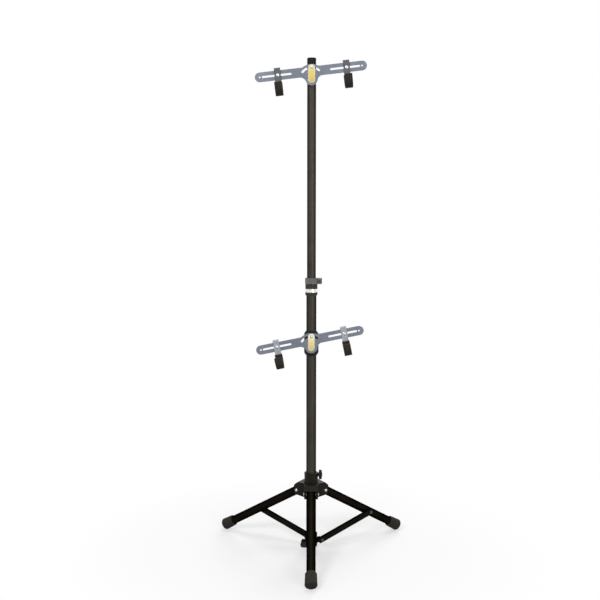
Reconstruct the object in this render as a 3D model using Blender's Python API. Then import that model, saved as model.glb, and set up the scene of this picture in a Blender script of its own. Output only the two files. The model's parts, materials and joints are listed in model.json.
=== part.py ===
"""Free-standing storage stand for two bicycles, one above the other.

A folding tripod carries a two-part telescoping mast. Each of two slotted bars
tilts on the mast, and carries two rubber-covered hooks for a bicycle's top tube.

Metres, +Z up. The origin is the centre of the mast's foot, on the floor.
The front of the stand faces -Y: one leg, both bars and all hooks point that way.
"""
import math

import bmesh
import bpy
from mathutils import Matrix, Vector

# Clearances
TOUCH_GAP = 0.0003
HOLE_CLEARANCE = 0.0003
SIDE_PLAY = 0.0008
CUT_OVERRUN = 0.010

# Mast
MAST_HEIGHT = 1.969
LOWER_TUBE_RADIUS = 0.020
UPPER_TUBE_RADIUS = 0.0175
TUBE_WALL = 0.0015
LOWER_TUBE_TOP = 1.060
UPPER_TUBE_LENGTH = 1.165
TOP_CAP_HEIGHT = 0.029
TOP_CAP_RIM = 0.0003
TOP_CAP_SPIGOT = 0.006
TOP_CAP_CHAMFER = 0.003
BASE_FLANGE_HEIGHT = 0.004
BASE_SPIGOT = 0.026

# Telescoping collar and its quick release
COLLAR_SKIRT = 0.019
COLLAR_LIP = 0.0015
COLLAR_LIP_HEIGHT = 0.004
COLLAR_FLANGE_RADIUS = 0.0246
COLLAR_FLANGE_TOP = -0.006
COLLAR_BODY_RADIUS = 0.0243
COLLAR_BODY_BOTTOM = 0.0085
COLLAR_BODY_TOP = 0.0268
COLLAR_NECK_WALL = 0.0022
COLLAR_NECK_TOP = 0.0495
RING_THICKNESS = 0.0024
BAND_THICKNESS = 0.0051
BAND_HEIGHT = 0.024
EAR_REACH = 0.042
EAR_THICKNESS = 0.0075
EAR_SLIT = 0.003
CLAMP_BOLT_X = 0.034
CLAMP_BOLT_RADIUS = 0.003
CLAMP_BARREL_LENGTH = 0.018
CLAMP_HEAD_RADIUS = 0.0055
CLAMP_HEAD = 0.004
CAM_RADIUS = 0.0075
LEVER_HEIGHT = 0.020
LEVER_ARM_RADIUS = 0.0275
LEVER_ARM_THICKNESS = 0.0045
LEVER_ARM_START = -26.0
LEVER_ARM_END = -112.0

# Tripod
LEG_AZIMUTHS = {"front": -90.0, "right": 30.0, "left": 150.0}
LEG_ANGLE = 30.4
LEG_TUBE_RADIUS = 0.0175
HINGE_REACH = 0.053
HINGE_HEIGHT = 0.2405
LEG_STUB = 0.009
FOOT_LENGTH = 0.055
FOOT_SOLE = 0.006
FOOT_TOP_RADIUS = 0.0222
FOOT_TIP_RADIUS = 0.0240
FOOT_ROUNDING = 0.005
FOOT_LIP = 0.004
HUB_RADIUS = 0.0275
HUB_BELOW_HINGE = 0.0305
HUB_ABOVE_HINGE = 0.0755
HUB_KNOB_ABOVE_HINGE = 0.0665
CHEEK_ROOT = 0.002
CHEEK_THICKNESS = 0.0098
CHEEK_TOP = 0.0335
CHEEK_BOTTOM = -0.0265
CHEEK_NOSE = 0.0115
CHEEK_SHOULDER = -0.0032
CHEEK_CHIN_REACH = 0.0092
CHEEK_CHIN_HEIGHT = -0.018
ROOF_EDGE_REACH = 0.0105
ROOF_EDGE_HEIGHT = 0.0225
ROOF_LIP_REACH = 0.0135
ROOF_LIP_HEIGHT = 0.0152
ROOF_INSET = 0.0004
ROOF_ARC_START_ANGLE = 52.0
ROOF_ARC_END_ANGLE = 140.0
HINGE_BOLT_RADIUS = 0.004
HINGE_BOLT_HEAD_RADIUS = 0.006
HINGE_BOLT_HEAD = 0.0035
LOWER_COLLAR_WALL = 0.0047
LOWER_COLLAR_BOTTOM = 0.008
LOWER_COLLAR_TOP = 0.062
STRUT_PIVOT_REACH = 0.032
STRUT_PIVOT_HEIGHT = 0.0354
LEG_PIVOT_DISTANCE = 0.2516
STRUT_HALF_WIDTH = 0.0100
STRUT_WALL = 0.0015
STRUT_CORNER = 0.0018
STRUT_END = 0.011
LUG_THICKNESS = 0.006
LUG_END_RADIUS = 0.0095
LUG_UNDERSIDE_ANGLE = 24.0
PIN_RADIUS = 0.004
PIN_HEAD_RADIUS = 0.0065
PIN_HEAD = 0.003
PIN_INNER_HEAD_RADIUS = 0.0055
RIVET_INSET = 0.001

# Screw knobs
KNOB_RADIUS = 0.019
KNOB_THICKNESS = 0.012
KNOB_LOBES = 10
KNOB_GROOVE = 0.0016
KNOB_SCREW_RADIUS = 0.003
KNOB_BOSS_RADIUS = 0.0085
KNOB_BOSS_REACH = 0.0035

# Cradle bars
UPPER_PIVOT_DROP = 0.0845
LOWER_PIVOT_HEIGHT = 0.836
UPPER_TILT = 6.4
LOWER_TILT = 11.5
BAR_LENGTH = 0.436
BAR_WIDTH = 0.037
BAR_THICKNESS = 0.004
BAR_PIVOT_DROP = 0.0296
LOCK_RADIUS = 0.0445
LOCK_SLOT_HALF_ANGLE = 46.0
TONGUE_RADIUS = 0.0235
TONGUE_FILLET = 0.024
DOME_RADIUS = 0.0575
DOME_FILLET = 0.020
SLOT_WIDTH = 0.008
HOOK_SLOT_START = 0.079
HOOK_SLOT_END = 0.187
END_HOLE_REACH = 0.199
END_HOLE_RADIUS = 0.0035

# Saddle, cradle collar and clamp strap
SADDLE_REACH = 0.0235
SADDLE_HALF_WIDTH = 0.0165
SADDLE_BACK = 0.010
SADDLE_BELOW = 0.018
SADDLE_ABOVE = 0.0135
CRADLE_COLLAR_RADIUS = 0.029
CRADLE_COLLAR_REACH = 0.031
CRADLE_COLLAR_BELOW = 0.036
CRADLE_COLLAR_ABOVE = 0.063
CRADLE_COLLAR_TAPER = 0.011
CRADLE_COLLAR_RIM = 0.0017
CRADLE_BOLT_WALL = 0.0012
CRADLE_BOSS_HALF_WIDTH = 0.023
STRAP_WIDTH = 0.027
STRAP_THICKNESS = 0.003
STRAP_TOP = 0.0115
STRAP_BOTTOM = 0.0145
CRADLE_BOLT_RADIUS = 0.003
LOCK_HEAD_RADIUS = 0.0056
LOCK_HEAD = 0.005
PIVOT_HEAD_RADIUS = 0.006
NUT_RADIUS = 0.0062
NUT_THICKNESS = 0.0055
BOLT_END = 0.0015

# Hooks
UPPER_HOOKS = {"left": -0.129, "right": 0.139}
LOWER_HOOKS = {"left": -0.134, "right": 0.139}
HOOK_WIDTH = 0.025
HOOK_THICKNESS = 0.005
HOOK_TOP = 0.0285
HOOK_LIP = 0.014
HOOK_INNER_DEPTH = 0.058
HOOK_BOTTOM = -0.083
HOOK_FRONT_TOP = -0.033
SLEEVE_THICKNESS = 0.003
SLEEVE_WIDTH = 0.030
SLEEVE_TOP = -0.030
HOOK_BOLT_HEAD_RADIUS = 0.0065
HOOK_BOLT_HEAD = 0.003

# Roundness
TUBE_SIDES = 32
BOLT_SIDES = 12
ARC_STEPS = 8


def clear_scene():
    for item in list(bpy.data.objects):
        bpy.data.objects.remove(item, do_unlink=True)


def finish(name, color, roughness, metallic):
    """A painted, moulded or plated finish."""
    material = bpy.data.materials.new(name)
    material.use_nodes = True
    shader = material.node_tree.nodes["Principled BSDF"]
    shader.inputs["Base Color"].default_value = (*color, 1.0)
    shader.inputs["Roughness"].default_value = roughness
    shader.inputs["Metallic"].default_value = metallic
    material.diffuse_color = (*color, 1.0)
    return material


def to_mesh(bm):
    bmesh.ops.recalc_face_normals(bm, faces=bm.faces)
    mesh = bpy.data.meshes.new("shape")
    bm.to_mesh(mesh)
    bm.free()
    return mesh


def arc(center, radius, start, end, steps=ARC_STEPS):
    """Points on an arc, with angles in degrees from the first axis."""
    points = []
    for index in range(steps + 1):
        angle = math.radians(start + (end - start) * index / steps)
        points.append((center[0] + radius * math.cos(angle), center[1] + radius * math.sin(angle)))
    return points


def turned(profile, sides=TUBE_SIDES):
    """A closed outline of (radius, height) points, turned about Z."""
    bm = bmesh.new()
    verts = [bm.verts.new((radius, 0.0, height)) for radius, height in profile]
    edges = [bm.edges.new((first, second)) for first, second in zip(verts, verts[1:] + verts[:1])
             if first.co.x > 0 or second.co.x > 0]
    bmesh.ops.spin(bm, geom=verts + edges, cent=(0, 0, 0), axis=(0, 0, 1), dvec=(0, 0, 0),
                   angle=math.tau, steps=sides, use_merge=True, use_duplicate=False)
    bmesh.ops.remove_doubles(bm, verts=bm.verts, dist=0.000002)
    return to_mesh(bm)


def extruded(outline, start, end, axes):
    """An outline on two axes, extruded along the third one from start to end."""
    first, second = axes
    third = ({0, 1, 2} - set(axes)).pop()
    bm = bmesh.new()
    verts = []
    for point in outline:
        place = [0.0, 0.0, 0.0]
        place[first], place[second], place[third] = point[0], point[1], start
        verts.append(bm.verts.new(place))
    face = bm.faces.new(verts)
    side = bmesh.ops.extrude_face_region(bm, geom=[face])["geom"]
    travel = Vector((0, 0, 0))
    travel[third] = end - start
    bmesh.ops.translate(bm, verts=[item for item in side if isinstance(item, bmesh.types.BMVert)],
                        vec=travel)
    return to_mesh(bm)


def plate(outline, back, front):
    """A flat plate whose (x, z) outline faces the front; depths are measured forward."""
    return extruded(outline, -back, -front, (0, 2))


def box(low, high):
    outline = [(low[0], low[1]), (high[0], low[1]), (high[0], high[1]), (low[0], high[1])]
    return extruded(outline, low[2], high[2], (0, 1))


def rod(radius, start, end, sides=BOLT_SIDES, axis="Z"):
    """A round bar along one axis through the origin."""
    mesh = turned([(0, start), (radius, start), (radius, end), (0, end)], sides)
    return turn_to(mesh, axis)


def turn_to(mesh, axis):
    """Turn a mesh made along Z so that it lies along X or Y."""
    turns = {"X": Matrix.Rotation(math.radians(90), 4, "Y"), "Y": Matrix.Rotation(math.radians(-90), 4, "X")}
    if axis in turns:
        mesh.transform(turns[axis])
    return mesh


def moved(mesh, offset=(0, 0, 0), azimuth=0.0):
    """A copy, turned about Z and then moved."""
    copy = mesh.copy()
    copy.transform(Matrix.Translation(offset) @ Matrix.Rotation(math.radians(azimuth), 4, "Z"))
    return copy


def combine(mesh, others, operation):
    """Join other closed meshes to this one, or cut them from it."""
    target = bpy.data.objects.new("target", mesh)
    bpy.context.scene.collection.objects.link(target)
    tools = []
    for other in others:
        tool = bpy.data.objects.new("tool", other)
        bpy.context.scene.collection.objects.link(tool)
        step = target.modifiers.new("Boolean", "BOOLEAN")
        step.operation = operation
        step.solver = "EXACT"
        step.object = tool
        tools.append(tool)
    graph = bpy.context.evaluated_depsgraph_get()
    result = bpy.data.meshes.new_from_object(target.evaluated_get(graph))
    for item in tools + [target]:
        bpy.data.objects.remove(item, do_unlink=True)
    return result


def join(mesh, *others):
    return combine(mesh, others, "UNION")


def cut(mesh, *others):
    return combine(mesh, others, "DIFFERENCE")


def stadium(start, end, width, height=0.0):
    """A slot outline with round ends, from one end centre to the other."""
    half = width / 2
    return arc((end, height), half, -90, 90) + arc((start, height), half, 90, 270)


def carrier(name, location=(0, 0, 0), rotation=(0, 0, 0), parent=None):
    """An empty on a joint's axis; rotation in degrees."""
    empty = bpy.data.objects.new(name, None)
    empty.empty_display_size = 0.02
    return settle(empty, location, rotation, parent)


def settle(item, location, rotation, parent):
    item.location = location
    item.rotation_euler = [math.radians(angle) for angle in rotation]
    item.parent = parent
    bpy.context.scene.collection.objects.link(item)
    return item


def add(name, mesh, material, parent=None, location=(0, 0, 0), rotation=(0, 0, 0)):
    """Place one sub-part of the stand."""
    mesh = mesh.copy()
    mesh.name = name
    mesh.materials.clear()
    mesh.materials.append(material)
    mesh.shade_smooth()
    mesh.set_sharp_from_angle(angle=math.radians(35))
    return settle(bpy.data.objects.new(name, mesh), location, rotation, parent)


def tube(radius, bottom, top):
    inner = radius - TUBE_WALL
    return turned([(inner, bottom), (radius, bottom), (radius, top), (inner, top)])


def knob(seat):
    """A lobed screw knob along +X: seated at `seat`, its screw reaching back to the mast."""
    outline = []
    steps = KNOB_LOBES * 4
    for index in range(steps):
        angle = math.tau * index / steps
        radius = KNOB_RADIUS - KNOB_GROOVE * (0.5 - 0.5 * math.cos(angle * KNOB_LOBES))
        outline.append((radius * math.cos(angle), radius * math.sin(angle)))
    head = extruded(outline, seat, seat + KNOB_THICKNESS, (1, 2))
    tip = LOWER_TUBE_RADIUS + 2 * TOUCH_GAP
    screw = rod(KNOB_SCREW_RADIUS, tip, seat + KNOB_THICKNESS / 2, axis="X")
    return join(head, screw)


def knob_seat(sleeve_radius):
    return sleeve_radius + KNOB_BOSS_REACH + TOUCH_GAP


def knob_boss(sleeve_radius):
    return rod(KNOB_BOSS_RADIUS, LOWER_TUBE_RADIUS / 2, sleeve_radius + KNOB_BOSS_REACH, TUBE_SIDES, "X")


def knob_hole(sleeve_radius):
    return rod(KNOB_SCREW_RADIUS + HOLE_CLEARANCE, 0, sleeve_radius + 2 * KNOB_BOSS_REACH, axis="X")


# Mast

def upper_pivot_lift():
    """Height of the upper bar's tilt pivot above the lower tube's top."""
    return MAST_HEIGHT - UPPER_PIVOT_DROP - LOWER_TUBE_TOP


def build_mast(black, plastic):
    """The fixed lower tube with its foot, and the sliding upper tube with its cap."""
    spigot = LOWER_TUBE_RADIUS - TUBE_WALL - HOLE_CLEARANCE
    plug = turned([(0, 0), (LOWER_TUBE_RADIUS, 0), (LOWER_TUBE_RADIUS, BASE_FLANGE_HEIGHT),
                   (spigot, BASE_FLANGE_HEIGHT), (spigot, BASE_FLANGE_HEIGHT + BASE_SPIGOT),
                   (0, BASE_FLANGE_HEIGHT + BASE_SPIGOT)])
    add("mast_base_plug", plug, plastic)
    add("lower_mast_tube", tube(LOWER_TUBE_RADIUS, BASE_FLANGE_HEIGHT + TOUCH_GAP, LOWER_TUBE_TOP), black)

    sliding = carrier("upper_mast_slide", (0, 0, LOWER_TUBE_TOP))
    tube_top = MAST_HEIGHT - TOP_CAP_HEIGHT - LOWER_TUBE_TOP
    across = UPPER_TUBE_RADIUS + CUT_OVERRUN
    hole = rod(CRADLE_BOLT_RADIUS + HOLE_CLEARANCE, -across, across, axis="Y")
    holes = [moved(hole, (0, 0, upper_pivot_lift() + rise)) for rise in (0, LOCK_RADIUS)]
    upper = cut(tube(UPPER_TUBE_RADIUS, tube_top - UPPER_TUBE_LENGTH, tube_top), *holes)
    add("upper_mast_tube", upper, black, sliding)
    rim = UPPER_TUBE_RADIUS + TOP_CAP_RIM
    inside = UPPER_TUBE_RADIUS - TUBE_WALL - HOLE_CLEARANCE
    seat = tube_top + TOUCH_GAP
    crown = tube_top + TOP_CAP_HEIGHT
    cap = turned([(0, seat - TOP_CAP_SPIGOT), (inside, seat - TOP_CAP_SPIGOT), (inside, seat),
                  (rim, seat), (rim, crown - TOP_CAP_CHAMFER), (rim - TOP_CAP_CHAMFER, crown),
                  (0, crown)])
    return add("top_cap", cap, plastic, sliding).parent


def build_telescoping_collar(plastic, silver, dark_steel):
    """The sleeve that joins the two tubes, with its clamp band, bolt and cam lever."""
    top = LOWER_TUBE_TOP
    skirt_bore = LOWER_TUBE_RADIUS + TOUCH_GAP
    neck_bore = UPPER_TUBE_RADIUS + TOUCH_GAP
    neck = neck_bore + COLLAR_NECK_WALL
    ring_seat = COLLAR_BODY_RADIUS - RING_THICKNESS - TOUCH_GAP
    body = turned([(skirt_bore, -COLLAR_SKIRT), (skirt_bore + COLLAR_LIP, -COLLAR_SKIRT),
                   (COLLAR_FLANGE_RADIUS, -COLLAR_SKIRT + COLLAR_LIP_HEIGHT), (COLLAR_FLANGE_RADIUS, COLLAR_FLANGE_TOP),
                   (ring_seat, COLLAR_FLANGE_TOP), (ring_seat, COLLAR_BODY_BOTTOM),
                   (COLLAR_BODY_RADIUS, COLLAR_BODY_BOTTOM), (COLLAR_BODY_RADIUS, COLLAR_BODY_TOP),
                   (neck, COLLAR_BODY_TOP), (neck, COLLAR_NECK_TOP), (neck_bore, COLLAR_NECK_TOP),
                   (neck_bore, TOUCH_GAP), (skirt_bore, TOUCH_GAP)])
    add("telescoping_collar", body, plastic, location=(0, 0, top))
    ring_inner = ring_seat + TOUCH_GAP
    ring_low = COLLAR_FLANGE_TOP + TOUCH_GAP
    ring_high = COLLAR_BODY_BOTTOM - TOUCH_GAP
    ring = turned([(ring_inner, ring_low), (COLLAR_BODY_RADIUS, ring_low),
                   (COLLAR_BODY_RADIUS, ring_high), (ring_inner, ring_high)])
    add("collar_ring", ring, silver, location=(0, 0, top))

    bore = neck + TOUCH_GAP
    outer = bore + BAND_THICKNESS
    low = COLLAR_BODY_TOP + TOUCH_GAP
    high = low + BAND_HEIGHT
    ear = EAR_THICKNESS + EAR_SLIT / 2
    band = join(turned([(0, low), (outer, low), (outer, high), (0, high)]),
                box((bore, -ear, low), (EAR_REACH, ear, high)))
    middle = (low + high) / 2
    under = low - CUT_OVERRUN
    over = high + CUT_OVERRUN
    across = ear + CUT_OVERRUN
    slit = box((bore - CUT_OVERRUN, -EAR_SLIT / 2, under), (EAR_REACH + CUT_OVERRUN, EAR_SLIT / 2, over))
    hole = rod(CLAMP_BOLT_RADIUS + HOLE_CLEARANCE, -across, across, axis="Y")
    band = cut(band, rod(bore, under, over, TUBE_SIDES), slit, moved(hole, (CLAMP_BOLT_X, 0, middle)))
    add("clamp_band", band, plastic, location=(0, 0, top))
    build_quick_release(top + middle, ear, plastic, dark_steel)


def build_quick_release(height, ear, plastic, dark_steel):
    """A barrel bolt through the band's ears and a cam lever that swings about the barrel."""
    pivot = (CLAMP_BOLT_X, -ear - TOUCH_GAP - CAM_RADIUS, height)
    reach = -pivot[1] + ear + TOUCH_GAP
    head = rod(CLAMP_HEAD_RADIUS, reach, reach + CLAMP_HEAD, 6, "Y")
    shank = rod(CLAMP_BOLT_RADIUS, 0, reach + CLAMP_HEAD / 2, axis="Y")
    barrel = rod(CLAMP_BOLT_RADIUS, -CLAMP_BARREL_LENGTH / 2, CLAMP_BARREL_LENGTH / 2)
    add("clamp_bolt", join(barrel, shank, head), dark_steel, location=pivot)

    swing = carrier("lever_hinge", pivot)
    half = LEVER_HEIGHT / 2
    inner = LEVER_ARM_RADIUS
    outer = inner + LEVER_ARM_THICKNESS
    outline = (arc((0, 0), inner, LEVER_ARM_START, LEVER_ARM_END, 2 * ARC_STEPS)
               + arc((0, 0), outer, LEVER_ARM_END, LEVER_ARM_START, 2 * ARC_STEPS))
    arm = moved(extruded(outline, -half, half, (0, 1)), (-pivot[0], -pivot[1], 0))
    slot = CLAMP_BOLT_RADIUS + HOLE_CLEARANCE
    room = 2 * CAM_RADIUS
    lever = cut(join(rod(CAM_RADIUS, -half, half, TUBE_SIDES), arm),
                rod(slot, -LEVER_HEIGHT, LEVER_HEIGHT),
                box((-slot, -room, -slot), (room, room, slot)))
    add("quick_release_lever", lever, plastic, swing)


# Tripod

def foot_lift():
    """Height of the foot's tip centre above the floor, so that the foot's rim rests on it."""
    slope = math.radians(LEG_ANGLE)
    rim = FOOT_TIP_RADIUS - FOOT_ROUNDING
    return rim * math.cos(slope) + FOOT_ROUNDING - FOOT_ROUNDING * math.sin(slope)


def leg_length():
    """From the hinge pin to the tip of the foot, along the leg."""
    return (HINGE_HEIGHT - foot_lift()) / math.sin(math.radians(LEG_ANGLE))


def cheek_outline():
    """Side view of a hub cheek, measured from the hinge pin."""
    root = CHEEK_ROOT - HINGE_REACH
    return ([(root, CHEEK_BOTTOM), (CHEEK_CHIN_REACH, CHEEK_CHIN_HEIGHT)]
            + arc((0, 0), CHEEK_NOSE, -40, 40)
            + [(ROOF_LIP_REACH - ROOF_INSET, ROOF_LIP_HEIGHT - ROOF_INSET),
               (ROOF_EDGE_REACH - ROOF_INSET, ROOF_EDGE_HEIGHT - ROOF_INSET),
               (CHEEK_SHOULDER - ROOF_INSET, CHEEK_TOP), (root, CHEEK_TOP)])


def roof_outline():
    """Side view of the roof that joins two cheeks, with room for the leg's end to swing."""
    root = CHEEK_ROOT - HINGE_REACH
    swing = math.hypot(LEG_STUB, LEG_TUBE_RADIUS) + SIDE_PLAY
    underside = arc((0, 0), swing, ROOF_ARC_START_ANGLE, ROOF_ARC_END_ANGLE)
    return ([(root, CHEEK_TOP), (CHEEK_SHOULDER, CHEEK_TOP), (ROOF_EDGE_REACH, ROOF_EDGE_HEIGHT),
             (ROOF_LIP_REACH, ROOF_LIP_HEIGHT)] + underside + [(root, underside[-1][1])])


def build_hub(plastic, steel):
    """The sliding hub: a sleeve with two cheeks and a roof for each leg, and a screw knob."""
    slide = carrier("hub_slide", (0, 0, HINGE_HEIGHT - HUB_BELOW_HINGE))
    height = HUB_BELOW_HINGE + HUB_ABOVE_HINGE
    hinge = HUB_BELOW_HINGE
    inside = LEG_TUBE_RADIUS + SIDE_PLAY
    outside = inside + CHEEK_THICKNESS
    cheeks = []
    holes = []
    for azimuth in LEG_AZIMUTHS.values():
        for start, end in ((inside, outside), (-outside, -inside)):
            cheek = extruded(cheek_outline(), start, end, (0, 2))
            cheeks.append(moved(moved(cheek, (HINGE_REACH, 0, hinge)), azimuth=azimuth))
        roof = extruded(roof_outline(), -outside, outside, (0, 2))
        cheeks.append(moved(moved(roof, (HINGE_REACH, 0, hinge)), azimuth=azimuth))
        across = outside + CUT_OVERRUN
        hole = rod(HINGE_BOLT_RADIUS + HOLE_CLEARANCE, -across, across, axis="Y")
        holes.append(moved(moved(hole, (HINGE_REACH, 0, hinge)), azimuth=azimuth))
    sleeve = turned([(0, 0), (HUB_RADIUS, 0), (HUB_RADIUS, height), (0, height)])
    knob_lift = (0, 0, hinge + HUB_KNOB_ABOVE_HINGE)
    body = join(sleeve, moved(knob_boss(HUB_RADIUS), knob_lift), *cheeks)
    bore = rod(LOWER_TUBE_RADIUS + TOUCH_GAP, -CUT_OVERRUN, height + CUT_OVERRUN, TUBE_SIDES)
    body = cut(body, bore, moved(knob_hole(HUB_RADIUS), knob_lift), *holes)
    add("tripod_hub", body, plastic, slide)

    turning = carrier("hub_knob_axis", knob_lift, parent=slide)
    add("hub_knob", knob(knob_seat(HUB_RADIUS)), plastic, turning)

    face = outside + TOUCH_GAP
    end = face + HINGE_BOLT_HEAD
    bolt = turn_to(turned([(0, -end), (HINGE_BOLT_HEAD_RADIUS, -end), (HINGE_BOLT_HEAD_RADIUS, -face),
                           (HINGE_BOLT_RADIUS, -face), (HINGE_BOLT_RADIUS, face),
                           (HINGE_BOLT_HEAD_RADIUS, face), (HINGE_BOLT_HEAD_RADIUS, end), (0, end)],
                          BOLT_SIDES), "Y")
    for side, azimuth in LEG_AZIMUTHS.items():
        spot = Matrix.Rotation(math.radians(azimuth), 4, "Z") @ Vector((HINGE_REACH, 0, hinge))
        add(f"{side}_leg_hinge_bolt", bolt, steel, slide, spot, (0, 0, azimuth))
    return slide


def build_legs(slide, black, rubber):
    """Three tube legs with rubber feet, each turning on its hinge bolt."""
    length = leg_length()
    across = LEG_TUBE_RADIUS + CUT_OVERRUN
    hole = rod(HINGE_BOLT_RADIUS + HOLE_CLEARANCE, -across, across, axis="Y")
    tube_end = length - FOOT_SOLE - TOUCH_GAP
    leg = cut(turn_to(tube(LEG_TUBE_RADIUS, -LEG_STUB, tube_end), "X"), hole)
    bore = LEG_TUBE_RADIUS + TOUCH_GAP
    start = length - FOOT_LENGTH
    lip = (bore + FOOT_TOP_RADIUS) / 2
    rounding = arc((FOOT_TIP_RADIUS - FOOT_ROUNDING, length - FOOT_ROUNDING), FOOT_ROUNDING, 0, 90, 4)
    foot = turn_to(turned([(bore, start), (lip, start), (FOOT_TOP_RADIUS, start + FOOT_LIP)] + rounding
                          + [(0, length), (0, length - FOOT_SOLE), (bore, length - FOOT_SOLE)]), "X")
    for side, azimuth in LEG_AZIMUTHS.items():
        spot = (Matrix.Rotation(math.radians(azimuth), 4, "Z")
                @ Vector((HINGE_REACH, 0, HUB_BELOW_HINGE)))
        hinge = carrier(f"{side}_leg_hinge", spot, (0, LEG_ANGLE, azimuth), slide)
        add(f"{side}_leg", leg, black, hinge)
        add(f"{side}_foot", foot, rubber, hinge)


def strut_offset():
    """Sideways distance from the leg's middle plane to the strut's middle."""
    return LEG_TUBE_RADIUS + TOUCH_GAP + STRUT_HALF_WIDTH


def strut_run():
    """Reach and rise from the strut's lower pivot to its pivot beside the leg."""
    slope = math.radians(LEG_ANGLE)
    reach = HINGE_REACH + LEG_PIVOT_DISTANCE * math.cos(slope) - STRUT_PIVOT_REACH
    rise = HINGE_HEIGHT - LEG_PIVOT_DISTANCE * math.sin(slope) - STRUT_PIVOT_HEIGHT
    return reach, rise


def build_lower_collar(black, dark_steel):
    """The fixed collar at the mast's foot: one lug and one pin for each strut."""
    outer = LOWER_TUBE_RADIUS + TOUCH_GAP + LOWER_COLLAR_WALL
    face = strut_offset() - STRUT_HALF_WIDTH - TOUCH_GAP
    under = math.radians(LUG_UNDERSIDE_ANGLE)
    corner = (STRUT_PIVOT_REACH + LUG_END_RADIUS * math.sin(under),
              STRUT_PIVOT_HEIGHT - LUG_END_RADIUS * math.cos(under))
    foot = corner[1] - (corner[0] - LUG_END_RADIUS) * math.tan(under)
    outline = (arc((STRUT_PIVOT_REACH, STRUT_PIVOT_HEIGHT), LUG_END_RADIUS,
                   LUG_UNDERSIDE_ANGLE - 90, 90)
               + [(LUG_END_RADIUS, STRUT_PIVOT_HEIGHT + LUG_END_RADIUS), (LUG_END_RADIUS, foot)])
    lug = extruded(outline, -face, -face + LUG_THICKNESS, (0, 2))
    hole = moved(rod(PIN_RADIUS + HOLE_CLEARANCE, -face - CUT_OVERRUN, 0, axis="Y"),
                 (STRUT_PIVOT_REACH, 0, STRUT_PIVOT_HEIGHT))
    turns = LEG_AZIMUTHS.values()
    body = turned([(0, LOWER_COLLAR_BOTTOM), (outer, LOWER_COLLAR_BOTTOM),
                   (outer, LOWER_COLLAR_TOP), (0, LOWER_COLLAR_TOP)])
    body = join(body, *[moved(lug, azimuth=azimuth) for azimuth in turns])
    bore = rod(LOWER_TUBE_RADIUS + TOUCH_GAP, 0, LOWER_COLLAR_TOP + CUT_OVERRUN, TUBE_SIDES)
    body = cut(body, bore, *[moved(hole, azimuth=azimuth) for azimuth in turns])
    add("lower_collar", body, black)

    outside = strut_offset() + STRUT_HALF_WIDTH + TOUCH_GAP
    inside = face - LUG_THICKNESS - TOUCH_GAP
    pin = headed_pin(-outside, -inside, PIN_INNER_HEAD_RADIUS, PIN_HEAD)
    for side, azimuth in LEG_AZIMUTHS.items():
        spot = (Matrix.Rotation(math.radians(azimuth), 4, "Z")
                @ Vector((STRUT_PIVOT_REACH, 0, STRUT_PIVOT_HEIGHT)))
        add(f"{side}_strut_pin", pin, dark_steel, None, spot, (0, 0, azimuth))


def headed_pin(outside, inside, end_radius, end_length):
    """A pin along Y with a head before `outside`, and an end of its own size after `inside`."""
    return turn_to(turned([(0, outside - PIN_HEAD), (PIN_HEAD_RADIUS, outside - PIN_HEAD),
                           (PIN_HEAD_RADIUS, outside), (PIN_RADIUS, outside), (PIN_RADIUS, inside),
                           (end_radius, inside), (end_radius, inside + end_length),
                           (0, inside + end_length)], BOLT_SIDES), "Y")


def square_outline(half):
    """A square section with cut corners."""
    flat = half - STRUT_CORNER
    return [(flat, -half), (half, -flat), (half, flat), (flat, half),
            (-flat, half), (-half, flat), (-half, -flat), (-flat, -half)]


def build_struts(black, dark_steel):
    """Three square tube struts from the lower collar to the legs, each beside its leg."""
    reach, rise = strut_run()
    length = math.hypot(reach, rise)
    elevation = math.degrees(math.atan2(rise, reach))
    inner = STRUT_HALF_WIDTH - STRUT_WALL
    reach_past = STRUT_END - STRUT_WALL
    across = STRUT_HALF_WIDTH + CUT_OVERRUN
    hole = rod(PIN_RADIUS + HOLE_CLEARANCE, -across, across, axis="Y")
    strut = cut(extruded(square_outline(STRUT_HALF_WIDTH), -STRUT_END, length + STRUT_END, (1, 2)),
                extruded(square_outline(inner), -reach_past, length + reach_past, (1, 2)),
                hole, moved(hole, (length, 0, 0)))
    outside = STRUT_HALF_WIDTH + TOUCH_GAP
    rivet = headed_pin(-outside, STRUT_HALF_WIDTH - RIVET_INSET, PIN_RADIUS, RIVET_INSET)
    for side, azimuth in LEG_AZIMUTHS.items():
        spot = (Matrix.Rotation(math.radians(azimuth), 4, "Z")
                @ Vector((STRUT_PIVOT_REACH, -strut_offset(), STRUT_PIVOT_HEIGHT)))
        hinge = carrier(f"{side}_strut_hinge", spot, (0, -elevation, azimuth))
        add(f"{side}_strut", strut, black, hinge)
        add(f"{side}_strut_rivet", rivet, dark_steel, hinge, (length, 0, 0))


# Cradles

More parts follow.
